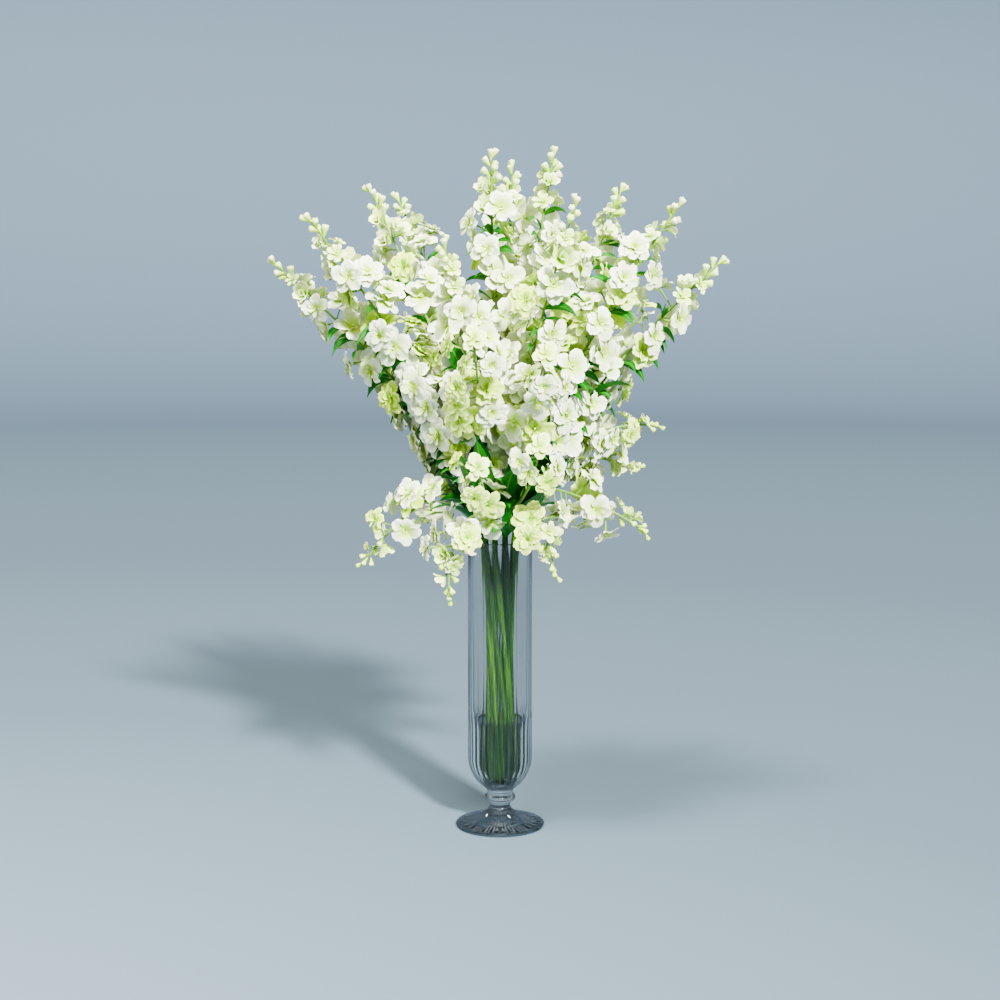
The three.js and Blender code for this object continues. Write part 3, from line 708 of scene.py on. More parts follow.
def flat_curve(start, bend, end, steps):
    """Points of a smooth curve in the profile's plane."""
    curve = Arch((*start, 0), (*bend, 0), (*end, 0))
    return [tuple(curve.point(i / steps)[:2]) for i in range(steps + 1)]


def inner_wall(inset=0.0):
    """The bowl's inner wall from its floor to the cylinder, moved in by `inset`."""
    radius = BODY_RADIUS - WALL - inset
    depth = BOWL_TOP - BOWL_FLOOR - inset
    return arc((0, BOWL_TOP), (radius, depth), (-90, 0), 20)


def vase_profile():
    """The vase's section, as radii and heights: up its outside, over the lip and down its inside."""
    lip = WALL / 2
    foot = [(0, 0), (FOOT_RADIUS * 0.5, 0), (FOOT_RADIUS - 1.5, 0), (FOOT_RADIUS - 0.4, 0.5)]
    foot += [(FOOT_RADIUS, 1.6), (FOOT_RADIUS - 0.1, 3.4), (FOOT_RADIUS - 1, 4.5)]
    sweep = flat_curve((FOOT_RADIUS - 1, 4.5), (WAIST_RADIUS + 9, 9), (WAIST_RADIUS, 28), 22)[1:]
    waist = [(WAIST_RADIUS, 30.5), (WAIST_RADIUS + 0.3, 32.5), (WAIST_RADIUS + 2, 34.4)]
    knob = arc((KNOB_RADIUS - 4.8, 40.2), (4.8, 5.4), (-68, 62), 12)
    neck = [(17.6, 46.6), (17.9, 48.4)]
    bowl = arc((0, BOWL_TOP), (BODY_RADIUS, BOWL_DEPTH), (-64, 0), 18)
    side_steps = 12
    side = [(BODY_RADIUS, mix(BOWL_TOP, WATER_LEVEL + 30, i / side_steps)) for i in range(1, side_steps + 1)]
    side += [(BODY_RADIUS, mix(WATER_LEVEL + 30, VASE_HEIGHT - lip, i / 3)) for i in range(1, 4)]
    rim = arc((BODY_RADIUS - lip, VASE_HEIGHT - lip), (lip, lip), (0, 180), 10)[1:]
    inside = [(BODY_RADIUS - WALL, mix(VASE_HEIGHT - lip, BOWL_TOP, i / 4)) for i in range(1, 4)]
    return foot + sweep + waist + knob + neck + bowl + side + rim + inside + inner_wall()[::-1]


def smooth_step(low, high, value):
    """From 0 at `low` to 1 at `high`, which may be the smaller one."""
    share = min(max((value - low) / (high - low), 0), 1)
    return share * share * (3 - 2 * share)


def make_vase(material):
    """One piece of glass: star-cut foot, knob, and a ribbed bowl that becomes a cylinder."""
    profile = vase_profile()
    highest = max(range(len(profile)), key=lambda i: profile[i][1])

    def shift(radius, height, turn, row):
        outside = row < highest
        if outside and FLUTES_BEGIN[0] < height < VASE_HEIGHT - 2 * WALL:
            depth = mix(FLUTE_DEPTH, UPPER_FLUTE_DEPTH, smooth_step(*PANELS_BEGIN, height))
            depth *= smooth_step(*FLUTES_BEGIN, height)
            from_ridge = 2 * (FLUTES * turn / (2 * math.pi) % 1) - 1
            return radius - depth * (1 - from_ridge ** 2), height
        if outside and CUT_HEIGHTS[0] < height < CUT_HEIGHTS[1]:
            number, share = divmod(STAR_CUTS * turn / (2 * math.pi) + 0.5, 1)
            cut = 1 - 2 * abs(share - 0.5)
            outer = FOOT_RADIUS - (2 if number % 2 else 12)
            fade = smooth_step(outer, outer - 6, radius) * smooth_step(*CUTS_BEGIN, radius)
            return radius, height - STAR_CUT_DEPTH * fade * cut
        return radius, height

    vase = turned_piece("vase_glass", profile, FLUTES * 10, shift)
    for face in vase.data.polygons:
        x, y, z = face.center / MM
        if CUT_HEIGHTS[0] < z < CUT_HEIGHTS[1] and math.hypot(x, y) > WAIST_RADIUS + 2.8:
            face.use_smooth = False  # the cuts are ground, with crisp edges
    for edge in vase.data.edges:
        lower, upper = (vase.data.vertices[i].co for i in edge.vertices)
        turns = [math.atan2(end.y, end.x) * FLUTES / (2 * math.pi) for end in (lower, upper)]
        on_ridge = all(abs(turn - round(turns[0])) < 0.01 for turn in turns)
        if on_ridge and min(lower.z, upper.z) > BOWL_FLOOR * MM and math.hypot(lower.x, lower.y) > 0.03:
            edge.use_edge_sharp = True
    vase.data.materials.append(material)
    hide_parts("vase")
    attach(vase, "root")


def make_water(material):
    """The water in the bowl, which climbs the glass a little at its edge."""
    wall = inner_wall(WATER_GAP)
    edge = wall[-1][0]
    rise = [(edge, mix(BOWL_TOP, WATER_LEVEL + MENISCUS, i / 5)) for i in range(1, 6)]
    surface = [
        (edge - 3.2 * share, WATER_LEVEL + MENISCUS * (1 - share) ** 2) for share in (0.2, 0.4, 0.7, 1)
    ]
    profile = wall + rise + surface + [(edge / 2, WATER_LEVEL), (0, WATER_LEVEL)]
    water = turned_piece("water_body", profile, 96)
    water.data.materials.append(material)
    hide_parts("water")
    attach(water, "root")


# ---------------------------------------------------------------- paths of stems and racemes


def standing_height(radius):
    """How high a stem's end stands on the curved floor of the bowl."""
    share = (radius + STEM_RADIUS + 1) / (BODY_RADIUS - WALL)
    return BOWL_TOP - (BOWL_TOP - BOWL_FLOOR) * math.sqrt(1 - share * share) + STANDING_ROOM


def stem_path(number):
    """The straight run in the vase, the arch above it, and where on that the flowers begin."""
    outer = number < OUTER_STEMS
    radius = OUTER_RING if outer else INNER_RING
    angle = 360 / OUTER_STEMS * number if outer else 180 * (number - OUTER_STEMS + 1)
    twist = OUTER_TWIST if outer else INNER_TWIST
    foot = on_ring(radius, angle + twist, standing_height(radius))
    mouth = on_ring(radius, angle, VASE_HEIGHT)
    tip, flowers_from = STEMS[number]
    bend = mouth + unit(mouth - foot) * 0.3 * np.linalg.norm(mouth - vec(*tip))
    arch = Arch(mouth, bend, tip)
    return {"foot": foot, "mouth": mouth, "arch": arch, "top": arch.where_high(flowers_from)}


def raceme_paths(stems):
    """The spike at the head of each stem, then the side shoots."""
    spikes = [{
        "name": f"spike_{number + 1:02d}", "spike": True, "path": stem["arch"], "begin": stem["top"],
        "radius": RACHIS_RADIUS, "bare": 0.02, "budding": SPIKE_TIP, "half_open": 2,
    } for number, stem in enumerate(stems)]
    shoots = []
    for number, (stem, height, towards, tip) in enumerate(SIDE_SHOOTS):
        arch = stems[stem]["arch"]
        shoots.append({
            "name": f"side_shoot_{number + 1:02d}", "spike": False,
            "path": Arch(arch.point(arch.where_high(height)), towards, tip), "begin": 0.0,
            "radius": SHOOT_RADIUS, "bare": 0.3, "budding": SHOOT_TIP, "half_open": 1,
        })
    return spikes + shoots


# ---------------------------------------------------------------- where the flowers stand

OWN_OVERLAP = 1.5  # florets of one raceme may just touch
TURNS = [0, 28, -28, 56, -56, 84, -84, 115, -115, 150, -150]
STRETCHES = [1, 1.25, 0.8]
LEAST_ROOM = 0.3
WORST_ROOM = -2
NEARBY = 90  # spheres further from a flower's root than this can't touch it


class Taken:
    """Spheres that stand for what is placed already, so that nothing new grows through it."""

    def __init__(self):
        self.at = np.empty((0, 3))
        self.radius = np.empty(0)
        self.owner = np.empty(0, dtype=object)
        self.slim = np.empty(0, dtype=bool)

    def take(self, at, radii, owner, slim=False):
        count = len(at)
        self.at = np.concatenate([self.at, np.asarray(at)])
        self.radius = np.concatenate([self.radius, np.broadcast_to(radii, count)])
        self.owner = np.concatenate([self.owner, np.array([owner] * count, dtype=object)])
        self.slim = np.concatenate([self.slim, np.full(count, slim)])

    def near(self, point, owner):
        """What may touch a flower of `owner` that grows from `point`."""
        close = np.linalg.norm(self.at - point, axis=1) < NEARBY
        own = self.owner == owner
        keep = close & ~(own & self.slim)
        allowance = np.where(own[keep], OWN_OVERLAP, 0.0)
        return self.at[keep], self.radius[keep] - allowance


def room(at, radii, near):
    """The least gap between a flower's spheres and the vase and what is near."""
    others, other_radii = near
    low = at[:, 2] - radii <= VASE_HEIGHT + 2
    from_vase = np.hypot(at[:, 0], at[:, 1]) - radii - BODY_RADIUS - 2
    least = min(from_vase[low], default=math.inf)
    if len(others):
        gaps = np.linalg.norm(at[:, None] - others[None], axis=2) - radii[:, None] - other_radii[None]
        least = min(least, gaps.min())
    return least


def flower_spheres(flower):
    """The places and radii of the spheres that stand for a flower and its stalk."""
    root, centre, facing = flower["root"], flower["centre"], flower["facing"]
    radius = flower["radius"]
    at = [root + (centre - root) * share for share in (0.35, 0.7)]
    if flower["kind"] != "open":
        size = radius * (1.1 if flower["kind"] == "bud" else 0.8)
        return np.array(at + [centre]), vec(1.6, 1.6, size)
    inner = ring(centre, facing, 5, 0.5 * radius, 1)
    outer = ring(centre, facing, 10, 0.86 * radius, 1)
    radii = [1.6, 1.6, 6] + [5.5] * 5 + [4.5] * 10
    return np.concatenate([at, [centre], inner, outer]), np.array(radii)


def row_of(raceme):
    """The kind of each flower, how far along its kind's run it is, and where it leaves the path."""
    path, begin = raceme["path"], raceme["begin"]
    first = begin + (1 - begin) * raceme["bare"]
    length = np.linalg.norm(path.point(first) - path.point(1))
    opened = max(2, math.floor((length - raceme["budding"]) / OPEN_PITCH + 0.5))
    last_open = mix(1, first, raceme["budding"] / length)
    last_half = mix(last_open, 1, 0.22 * raceme["half_open"])
    runs = [
        ("open", opened, first, last_open),
        ("half", raceme["half_open"], last_open, last_half),
        ("bud", BUDS, last_half, 0.97),
    ]
    return [
        (kind, i / count, mix(start, end, i / count))
        for kind, count, start, end in runs for i in range(count)
    ]


def set_flower(flower, raceme, taken, options, enough, least, push=0.0, barred=None):
    """Sets a flower on its raceme where it has enough room, or else where it has the most.

    Each option is an angle round the path, in degrees, and a length of stalk. `push` turns an open
    flower's face. There is no flower where the room is less than `least` or its centre is barred.
    """
    root, tangent = raceme["path"].point(flower["t"]), raceme["path"].tangent(flower["t"])
    side, other = across(tangent)
    lean = math.radians(flower["lean"])
    near = taken.near(root, raceme["name"])
    best = None
    for degrees, stalk in options:
        angle = math.radians(degrees)
        out = side * math.cos(angle) + other * math.sin(angle)
        pointing = out * math.sin(lean) + tangent * math.cos(lean)
        facing = unit(pointing + 0.5 * out + push) if flower["kind"] == "open" else pointing
        tried = {
            **flower, "root": root, "centre": root + pointing * stalk, "facing": facing, "pointing": pointing,
        }
        free = room(*flower_spheres(tried), near)
        if best is None or free > most_free:
            best, most_free = tried, free
        if most_free >= enough:
            break
    if most_free < least or barred and barred(*best["centre"]):
        return None
    taken.take(*flower_spheres(best), raceme["name"])
    return best


def flowers_of(raceme, order, taken):
    """The flowers of the solids, each at the first free turn round the golden angle."""
    flowers = []
    for i, (kind, share, t) in enumerate(row_of(raceme)):
        radius, stalk, lean = (mix(*FLOWERS[kind][key], share) for key in ("radius", "stalk", "lean"))
        flower = {"kind": kind, "radius": radius, "lean": lean, "t": t, "seed": 100 * order + i}
        sway = vec(
            chance(order, 10 * i + 2) - 0.5, chance(order, 10 * i + 3) - 0.5, chance(order, 10 * i + 4))
        first = 360 * chance(order, 1) + GOLDEN_ANGLE * i
        options = [(first + turn, stalk * stretch) for stretch in STRETCHES for turn in TURNS]
        push = 0.35 * sway
        flowers.append(set_flower(flower, raceme, taken, options, LEAST_ROOM, WORST_ROOM, push))
    return [flower for flower in flowers if flower]


# ---------------------------------------------------------------- leaves


def leaves_of(number, arch):
    """Two leaves near the rim on each outer stem, turned out from the bunch: their paths."""
    if number >= OUTER_STEMS:
        return []
    paths = []
    for pair in (0, 1):
        height = LEAF_HEIGHTS[pair] + 16 * chance(number, 31 + pair)
        root = arch.point(arch.where_high(height))
        turn = 360 / OUTER_STEMS * number + LEAF_TURNS[pair] + 20 * (chance(number, 41 + pair) - 0.5)
        length = LEAF_LENGTH * mix(0.85, 1.2, chance(number, 51 + pair))
        rise = mix(0.45, 0.75, chance(number, 61 + pair))
        out = on_ring(1, turn, 0)
        bend = root + out * 0.45 * length + vec(0, 0, rise * length)
        tip = root + out * 0.95 * length + vec(0, 0, (rise - 0.25) * length)
        paths.append(Arch(root, bend, tip))
    return paths


LEAF_STATIONS = (0.3, 0.45, 0.6, 0.75, 0.9)  # where spheres along a leaf stand for it
LEAF_SPHERE = 4
BRACT_STATIONS = (0.45, 0.6, 0.75, 0.9, 1)
BRACT_SPHERE = 2.5


def roomiest(tries, stations, radius, near):
    """The room and the path of the one with the most of it. Each try is a path and what its
    leaning outwards counts for, as room."""
    best = None
    for path, outward in tries:
        free = room(path.points(stations), np.full(len(stations), radius), near) + outward
        if best is None or free > best[0]:
            best = (free, path)
    return best


def neck_leaves(number, arch, taken):
    """More leaves between the rim and the flowers, each where it has the most room: their sheets."""
    sheets = []
    for i in range(NECK_LEAVES):
        seed = 7000 + 20 * number + i
        root = arch.point(arch.where_high(mix(*NECK_LEAF_HEIGHTS, (i + chance(seed, 1)) / NECK_LEAVES)))
        length = mix(*NECK_LEAF_LENGTHS, chance(seed, 2))
        tries = []
        for turn, rise in ((t, r) for t in range(0, 360, 20) for r in (0.35, 0.65, 0.95)):
            out = on_ring(1, turn + 20 * chance(seed, 4), 0)
            bend = root + out * 0.4 * length + vec(0, 0, rise * 0.8 * length)
            tip = root + out * 0.7 * length + vec(0, 0, (1.3 * rise - 0.3) * length)
            path = Arch(root, bend, tip)
            tries.append((path, NECK_LEAF_OUTWARD * (outwards(path.point(0.6)) @ out)))
        free, path = roomiest(tries, LEAF_STATIONS, LEAF_SPHERE, taken.near(root, f"stem_{number}"))
        if free >= NECK_LEAF_ROOM:
            roll = math.radians(mix(-45, 45, chance(seed, 5)))
            sheets.append(leaf_sheet(path, NECK_LEAF_WIDTH * length, seed, roll=roll))
            taken.take(path.points(LEAF_STATIONS), LEAF_SPHERE, f"stem_{number}")
    return sheets


def hugging_leaves(number, arch, taken):
    """Upright leaves that stand round the bunch just above the rim: their sheets."""
    sheets = []
    for i, first in enumerate(HUGGING_LEAF_HEIGHTS):
        seed = 7600 + 20 * number + i
        length = mix(*HUGGING_LEAF_LENGTHS, chance(seed, 1))
        height = first + 14 * chance(seed, 2)
        root = arch.point(arch.where_high(height))
        out = on_ring(1, 360 / OUTER_STEMS * number + mix(-24, 24, chance(seed, 3)), 0)
        tip = arch.point(arch.where_high(height + 0.85 * length)) + out * 0.24 * length
        bend = (root + tip) / 2 + out * 0.12 * length
        path = Arch(root, bend, tip)
        sheets.append(leaf_sheet(path, HUGGING_LEAF_WIDTH * length, seed))
        taken.take(path.points(LEAF_STATIONS), LEAF_SPHERE, f"stem_{number}")
    return sheets


def front_leaves(number, arch, taken):
    """The broad leaves at the front of the neck that this stem bears: their sheets."""
    sheets = []
    for order, (stem, height, bend, tip, width) in enumerate(FRONT_LEAVES):
        if stem == number:
            path = Arch(arch.point(arch.where_high(height)), bend, tip)
            sheets.append(leaf_sheet(path, width, 7900 + order))
            taken.take(path.points(LEAF_STATIONS), 0.4 * width, f"stem_{number}")
    return sheets


def leaf_sheet(path, width, seed, rows=16, columns=7, roll=0.0):
    """A pointed blade, folded up a little along its midrib, with gently waved edges."""
    grid = np.zeros((rows, columns, 3))
    turned, raised = math.cos(roll), math.sin(roll)
    for r in range(rows):
        t = r / (rows - 1)
        point, tangent = path.point(t), path.tangent(t)
        level = unit(np.cross(vec(0, 0, 1), tangent))
        side = level * turned + np.cross(tangent, level) * raised
        up = np.cross(tangent, side)
        if t < 0.4:
            share = mix(0.15, 1, math.sin(math.pi / 2 * t / 0.4))
        else:
            share = max(math.cos(math.pi / 2 * (t - 0.4) / 0.6), 0) ** 0.85
        half = max(share * width / 2, 0.25)
        for c in range(columns):
            s = 2 * c / (columns - 1) - 1
            wave = 0.09 * math.sin(9 * t + 2.1 * seed + (1.4 if s > 0 else 0)) * abs(s) ** 2
            lift = (0.3 * abs(s) ** 1.2 + wave) * half
            grid[r, c] = point + side * s * half + up * lift
    return thin_sheet(grid, LEAF_THICKNESS)


def joined_sheets(sheets):
    """Several thin sheets as the points, faces and values of one mesh."""
    points, faces, values = [], [], {}
    start = 0
    for sheet_points, sheet_faces, sheet_values in sheets:
        points.append(sheet_points)
        faces += [[start + i for i in face] for face in sheet_faces]
        for key, numbers in sheet_values.items():
            values.setdefault(key, []).append(numbers)
        start += len(sheet_points)
    return np.concatenate(points), faces, {key: np.concatenate(lists) for key, lists in values.items()}


# ---------------------------------------------------------------- petals and florets


def move_to(piece, collection):
    """Takes a piece out of the scene and into a collection of forms."""
    bpy.context.scene.collection.objects.unlink(piece)
    collection.objects.link(piece)


def petal_sheet(seed, rows, columns):
    """A rounded petal along X, one long: narrow claw, broad waved end, bent back at its tip."""
    grid = np.zeros((rows, columns, 3))
    widest = 0.6
    for r in range(rows):
        t = 1 - (1 - r / (rows - 1)) ** 1.25
        if t < widest:
            half = mix(0.09, 0.5, math.sin(math.pi / 2 * t / widest) ** 1.2)
        else:
            half = 0.5 * math.sqrt(1 - (0.8 * (t - widest) / (1 - widest)) ** 2.5)
        for c in range(columns):
            s = 2 * c / (columns - 1) - 1
            rounding = 0.35 * t * t * (1 - math.sqrt(1 - (0.85 * s) ** 2))
            notch = 0.1 * t ** 6 * math.exp(-(s / 0.3) ** 2) * chance(seed, 1)
            wave = 0.05 * t ** 2 * math.sin(3.6 * s + 6.3 * chance(seed, 2))
            ripple = 0.05 * t ** 3 * math.sin(7 * s + 6.3 * chance(seed, 3)) * abs(s)
            cup = 0.2 * s * s * t * (1.1 - t) + 0.09 * math.sin(math.pi * min(t * 0.97, 1))
            crease = 0.025 * t * math.exp(-(s / 0.2) ** 2)
            grid[r, c] = (t - rounding - notch, half * s, cup + wave + ripple - crease)
    return thin_sheet(grid, 0.014)


PETAL_KINDS = 6
PETALS = {"broad": (6, 7), "inner": (5, 6), "small": (4, 4)}  # rows and columns of points

# Each form of flower, as whorls of petals from the outside in. A flower is one across from its
# middle to its edge. Turn, lean and roll are in degrees, and layer says how far in a whorl is.
WHORL = ("Petals", "Count", "Turn", "Lean", "Roll", "Start", "Sink", "Size", "Layer", "Unevenness")
WHORLS = {
    "single": [
        ("broad", 5, 36, 12, 9, 0.06, -0.16, (0.97, 0.84, 0.9), 0.0, 1.2),
        ("small", 5, 4, 56, 10, 0.03, -0.14, (0.24, 0.16, 0.4), 1.4, 1.5),
    ],
    "semi_double": [
        ("broad", 5, 36, 6, 10, 0.06, -0.16, (0.97, 0.82, 0.9), 0.0, 1.3),
        ("inner", 5, 2, 25, 10, 0.05, -0.13, (0.63, 0.5, 0.7), 0.5, 1.8),
        ("small", 4, 20, 58, 12, 0.03, -0.12, (0.24, 0.16, 0.36), 1.4, 1.6),
    ],
    "double": [
        ("broad", 6, 36, 5, 9, 0.06, -0.17, (0.97, 0.74, 0.85), 0.0, 1.3),
        ("inner", 6, 8, 19, 9, 0.05, -0.14, (0.75, 0.56, 0.75), 0.4, 1.6),
        ("inner", 5, 24, 38, 10, 0.04, -0.11, (0.5, 0.36, 0.55), 0.9, 1.7),
    ],
    "opening": [
        ("inner", 5, 36, 20, 10, 0.07, -0.3, (1.15, 0.92, 1.0), 0.2, 1.5),
        ("small", 4, 10, 52, 12, 0.05, -0.25, (0.5, 0.32, 0.7), 1.0, 1.5),
    ],
    "half_open": [
        ("inner", 5, 36, 48, 9, 0.1, -0.7, (1.5, 1.15, 1.0), 0.3, 1.3),
        ("small", 3, 10, 68, 12, 0.07, -0.6, (1.1, 0.75, 1.0), 0.7, 1.3),
    ],
}

# The forms, in the order of their names, which is the order of their numbers.
FORMS = [
    ("form_0_single_a", "single", 11), ("form_1_single_b", "single", 23),
    ("form_2_semi_a", "semi_double", 31), ("form_3_semi_b", "semi_double", 47),
    ("form_4_semi_c", "semi_double", 53), ("form_5_double_a", "double", 61),
    ("form_6_double_b", "double", 79), ("form_7_opening", "opening", 83),
    ("form_8_half", "half_open", 97),
]
SINGLE, SEMI_DOUBLE, DOUBLE, HALF_OPEN, BUD = (0, 1), (2, 3, 4), (5, 6), (7, 7, 8), (9,)


def join_meshes(name, pieces):
    """One object of several whose places are in their meshes; the parts are removed."""
    whole = bmesh.new()
    for piece in pieces:
        whole.from_mesh(piece.data)
    mesh = pieces[0].data.copy()
    mesh.name = name
    whole.to_mesh(mesh)
    whole.free()
    for piece in pieces:
        bpy.data.objects.remove(piece)
    return new_object(name, mesh)


BUD_NECK, BUD_CROWN = -2.5, 1.3  # where a bud of radius one starts and ends, from its middle


def bud_sheet():
    """A closed bud along Z: drawn out to a neck, widest near its end, with five petal tips."""
    rings, sides = 8, 10
    points, along = [], []
    widest = 0.72
    for r in range(1, rings):
        t = r / rings
        if t < widest:
            radius = mix(0.2, 1, (t / widest) ** 1.4)
        else:
            radius = math.sqrt(1 - (0.8 * (t - widest) / (1 - widest)) ** 2)
        for s in range(sides):
            turn = 2 * math.pi * s / sides + 0.9 * t
            tip = (1 if s % 2 else -1) * smooth_step(0.4, 1, t)
            height = mix(BUD_NECK, BUD_CROWN, t) + 0.2 * tip
            wide = radius * (1 + 0.07 * tip)
            points.append((wide * math.cos(turn), wide * math.sin(turn), height))
            along.append(0.75 * t)
    faces = [
        [r * sides + s, r * sides + (s + 1) % sides, (r + 1) * sides + (s + 1) % sides, (r + 1) * sides + s]
        for r in range(rings - 2) for s in range(sides)
    ]
    low, high = len(points), len(points) + 1
    points += [(0, 0, BUD_NECK), (0, 0, 0.85 * BUD_CROWN)]
    along += [0.0, 0.6]
    top = (rings - 2) * sides
    for s in range(sides):
        faces.append([low, (s + 1) % sides, s])
        faces.append([high, top + s, top + (s + 1) % sides])
    values = {"along": vec(*along), "across": np.zeros(len(points)), "layer": np.full(len(points), 0.5)}
    return np.array(points), faces, values


def flower_forms(material):
    """Every form of flower, grown from whorls of petals, in a collection outside the scene."""
    petals = {}
    for kind, (rows, columns) in PETALS.items():
        petals[kind] = bpy.data.collections.new(f"{kind}_petals")
        for number in range(PETAL_KINDS):
            sheet = petal_sheet(number + 1, rows, columns)
            move_to(mesh_piece(f"{kind}_petal_{number}", *sheet, scale=1), petals[kind])
    tree = whorl_tree()
    forms = bpy.data.collections.new("flower_forms")
    for name, kind, seed in FORMS:
        whorls = []
        for number, whorl in enumerate(WHORLS[kind]):
            settings = dict(zip(WHORL, whorl))
            for key in ("Turn", "Lean", "Roll"):
                settings[key] = math.radians(settings[key])
            settings.update({
                "Petals": petals[settings["Petals"]], "Kinds": PETAL_KINDS, "Seed": seed + 7 * number,
                "Material": material,
            })
            carrier = mesh_piece("carrier", [(0, 0, 0)], [])
            whorls.append(grown(carrier, tree, settings, f"{name}_{number}"))
        move_to(join_meshes(name, whorls), forms)
    move_to(mesh_piece("form_9_bud", *bud_sheet(), scale=1), forms)
    return forms


# ---------------------------------------------------------------- stems and racemes

PAINTED_STEM_SHADES = [0.0, 0.7, 0.25, 0.9, 0.1]  # how dark each stem in turn is painted, as shade
NECK_HEIGHTS = (425, 535)  # between these, and this near the axis, the bunch shows its leaves
NECK_RADIUS = 160
NECK_HALF_WIDTH = 72

# Colour and kind.
YELLOW_SHARE = 0.2  # of the open florets on a spike that are yellow-green all over
SHOOT_YELLOW_SHARE = 0.4
BUD_TINTS = (0, 0.6)
SHOOT_BUD_TINTS = (0.4, 0.8)
YELLOW_TINTS = (0.75, 1)
SINGLE_SHARE = 0.25  # of the white florets
DOUBLE_SHARE = 0.2

# Sizes on a side shoot, beside those on a spike.
SHOOT_SIZES = {"bud": 0.78, "half": 0.88}
SHOOT_OPEN_SIZES = (1.05, 0.72)  # where the shoot leaves its stem, and at its tip
OPEN_TO_TIP = {"side_shoot_07", "side_shoot_08", "side_shoot_09", "side_shoot_10"}
TIP_RADII = {"bud": 18, "half": 19.5}  # of the open florets there in place of buds and half-open ones
TIP_BUDDING = 20

# Young flowers and buds near the tip of a raceme, from the first to the last.
YOUNG_PITCH = 10.5
YOUNG_OPENING = 0.6  # the share of that stretch where they have begun to open
YOUNG_RADII = (17, 9.5)
YOUNG_BUD_RADII = (5, 3.8)
YOUNG_STALKS = (19, 11)
YOUNG_LEANS = (64, 30)
YOUNG_OVERLAP = -1.2

# More open florets on every raceme, from the first to the last.
FULLER_PITCH = 17
FULLER_RADII = (27, 22)
FULLER_STALKS = (22, 29, 36)
FULLER_LEANS = (60, 76)
FULLER_OVERLAP = -4
SIDE_FLORETS = {"side_shoot_01", "side_shoot_03", "side_shoot_06"}  # these have some near the stem too
SIDE_FLORET_PLACES = (0.24, 0.14, 0.05)  # along the shoot
SIDE_OVERLAP = -8  # those may lie over leaves

BRACT_ROOM = 0.5
BRACT_OUTWARD = 5  # what leaning outwards counts for
BRACT_SHARE = 0.7  # of the open florets with a bract that shows
BRACT_LENGTH = (34, 52)
BRACT_WIDTH = 0.22  # of its length


def turn_to(facing):
    """The Euler turn that takes Z to `facing`, with X along the first direction across it."""
    side, other = across(facing)
    basis = Matrix((side, -other, facing)).transposed()
    return tuple(basis.to_euler("XYZ"))


def pick(choices, draw):
    """One of several, by a draw from 0 to 1."""
    return choices[min(int(draw * len(choices)), len(choices) - 1)]


def young_flowers(raceme, order, taken):
    """The young flowers and buds in the gaps near the tip, ever smaller towards it."""
    if raceme["name"] in OPEN_TO_TIP:
        return []
    path, begin = raceme["path"], raceme["begin"]
    length = np.linalg.norm(path.point(begin) - path.point(1))
    first = mix(1, begin, min(raceme["budding"] / length, 1))
    count = int(raceme["budding"] / YOUNG_PITCH)
    young = []
    for i in range(count):
        share = (i + 0.5) / count
        seed = 5000 + 100 * order + i
        if share < YOUNG_OPENING:
            kind, radius = "half", mix(*YOUNG_RADII, share / YOUNG_OPENING)
        else:
            kind, radius = "bud", mix(*YOUNG_BUD_RADII, (share - YOUNG_OPENING) / (1 - YOUNG_OPENING))
        flower = {
            "kind": kind, "radius": radius * mix(0.9, 1.1, chance(seed, 1)),
            "lean": mix(*YOUNG_LEANS, share), "t": mix(first, 0.985, share), "seed": seed,
        }
        start = GOLDEN_ANGLE * i + 360 * chance(order, 7)
        options = [(start + turn, mix(*YOUNG_STALKS, share)) for turn in range(0, 360, 24)]
        young.append(set_flower(flower, raceme, taken, options, 0, YOUNG_OVERLAP))
    return [flower for flower in young if flower]


def in_neck(x, y, z):
    """Whether a place is at the front or back of the neck, where leaves show between the stems."""
    between = NECK_HEIGHTS[0] < z < NECK_HEIGHTS[1]
    return between and abs(x) < NECK_HALF_WIDTH and math.hypot(x, y) < NECK_RADIUS


def fuller_florets(raceme, order, taken):
    """The rest of the open florets: they fill the gaps round the rachis, and may interleave."""
    path, begin = raceme["path"], raceme["begin"]
    start = begin + (1 - begin) * raceme["bare"]
    length = np.linalg.norm(path.point(start) - path.point(1))
    budding = TIP_BUDDING if raceme["name"] in OPEN_TO_TIP else raceme["budding"]
    end = mix(1, start, budding / length)
    count = int((length - budding) / FULLER_PITCH) + 1
    stations = [mix(start, end, (i + 0.5) / count) for i in range(count)]
    if raceme["name"] in SIDE_FLORETS:
        stations += SIDE_FLORET_PLACES
    florets = []
    for i, t in enumerate(stations):
        seed = 9000 + 100 * order + i
        floret = {
            "kind": "open", "seed": seed, "t": t, "lean": mix(*FULLER_LEANS, chance(seed, 2)),
            "radius": mix(*FULLER_RADII, min(i / count, 1)) * mix(0.92, 1.04, chance(seed, 1)),
        }
        first = GOLDEN_ANGLE * i + 360 * chance(order, 8)
        options = [(first + turn, stalk) for turn in range(0, 360, 15) for stalk in FULLER_STALKS]
        least = FULLER_OVERLAP if i < count else SIDE_OVERLAP
        push = 0.7 * outwards(path.point(t))
        florets.append(set_flower(floret, raceme, taken, options, math.inf, least, push, in_neck))
    return [floret for floret in florets if floret]


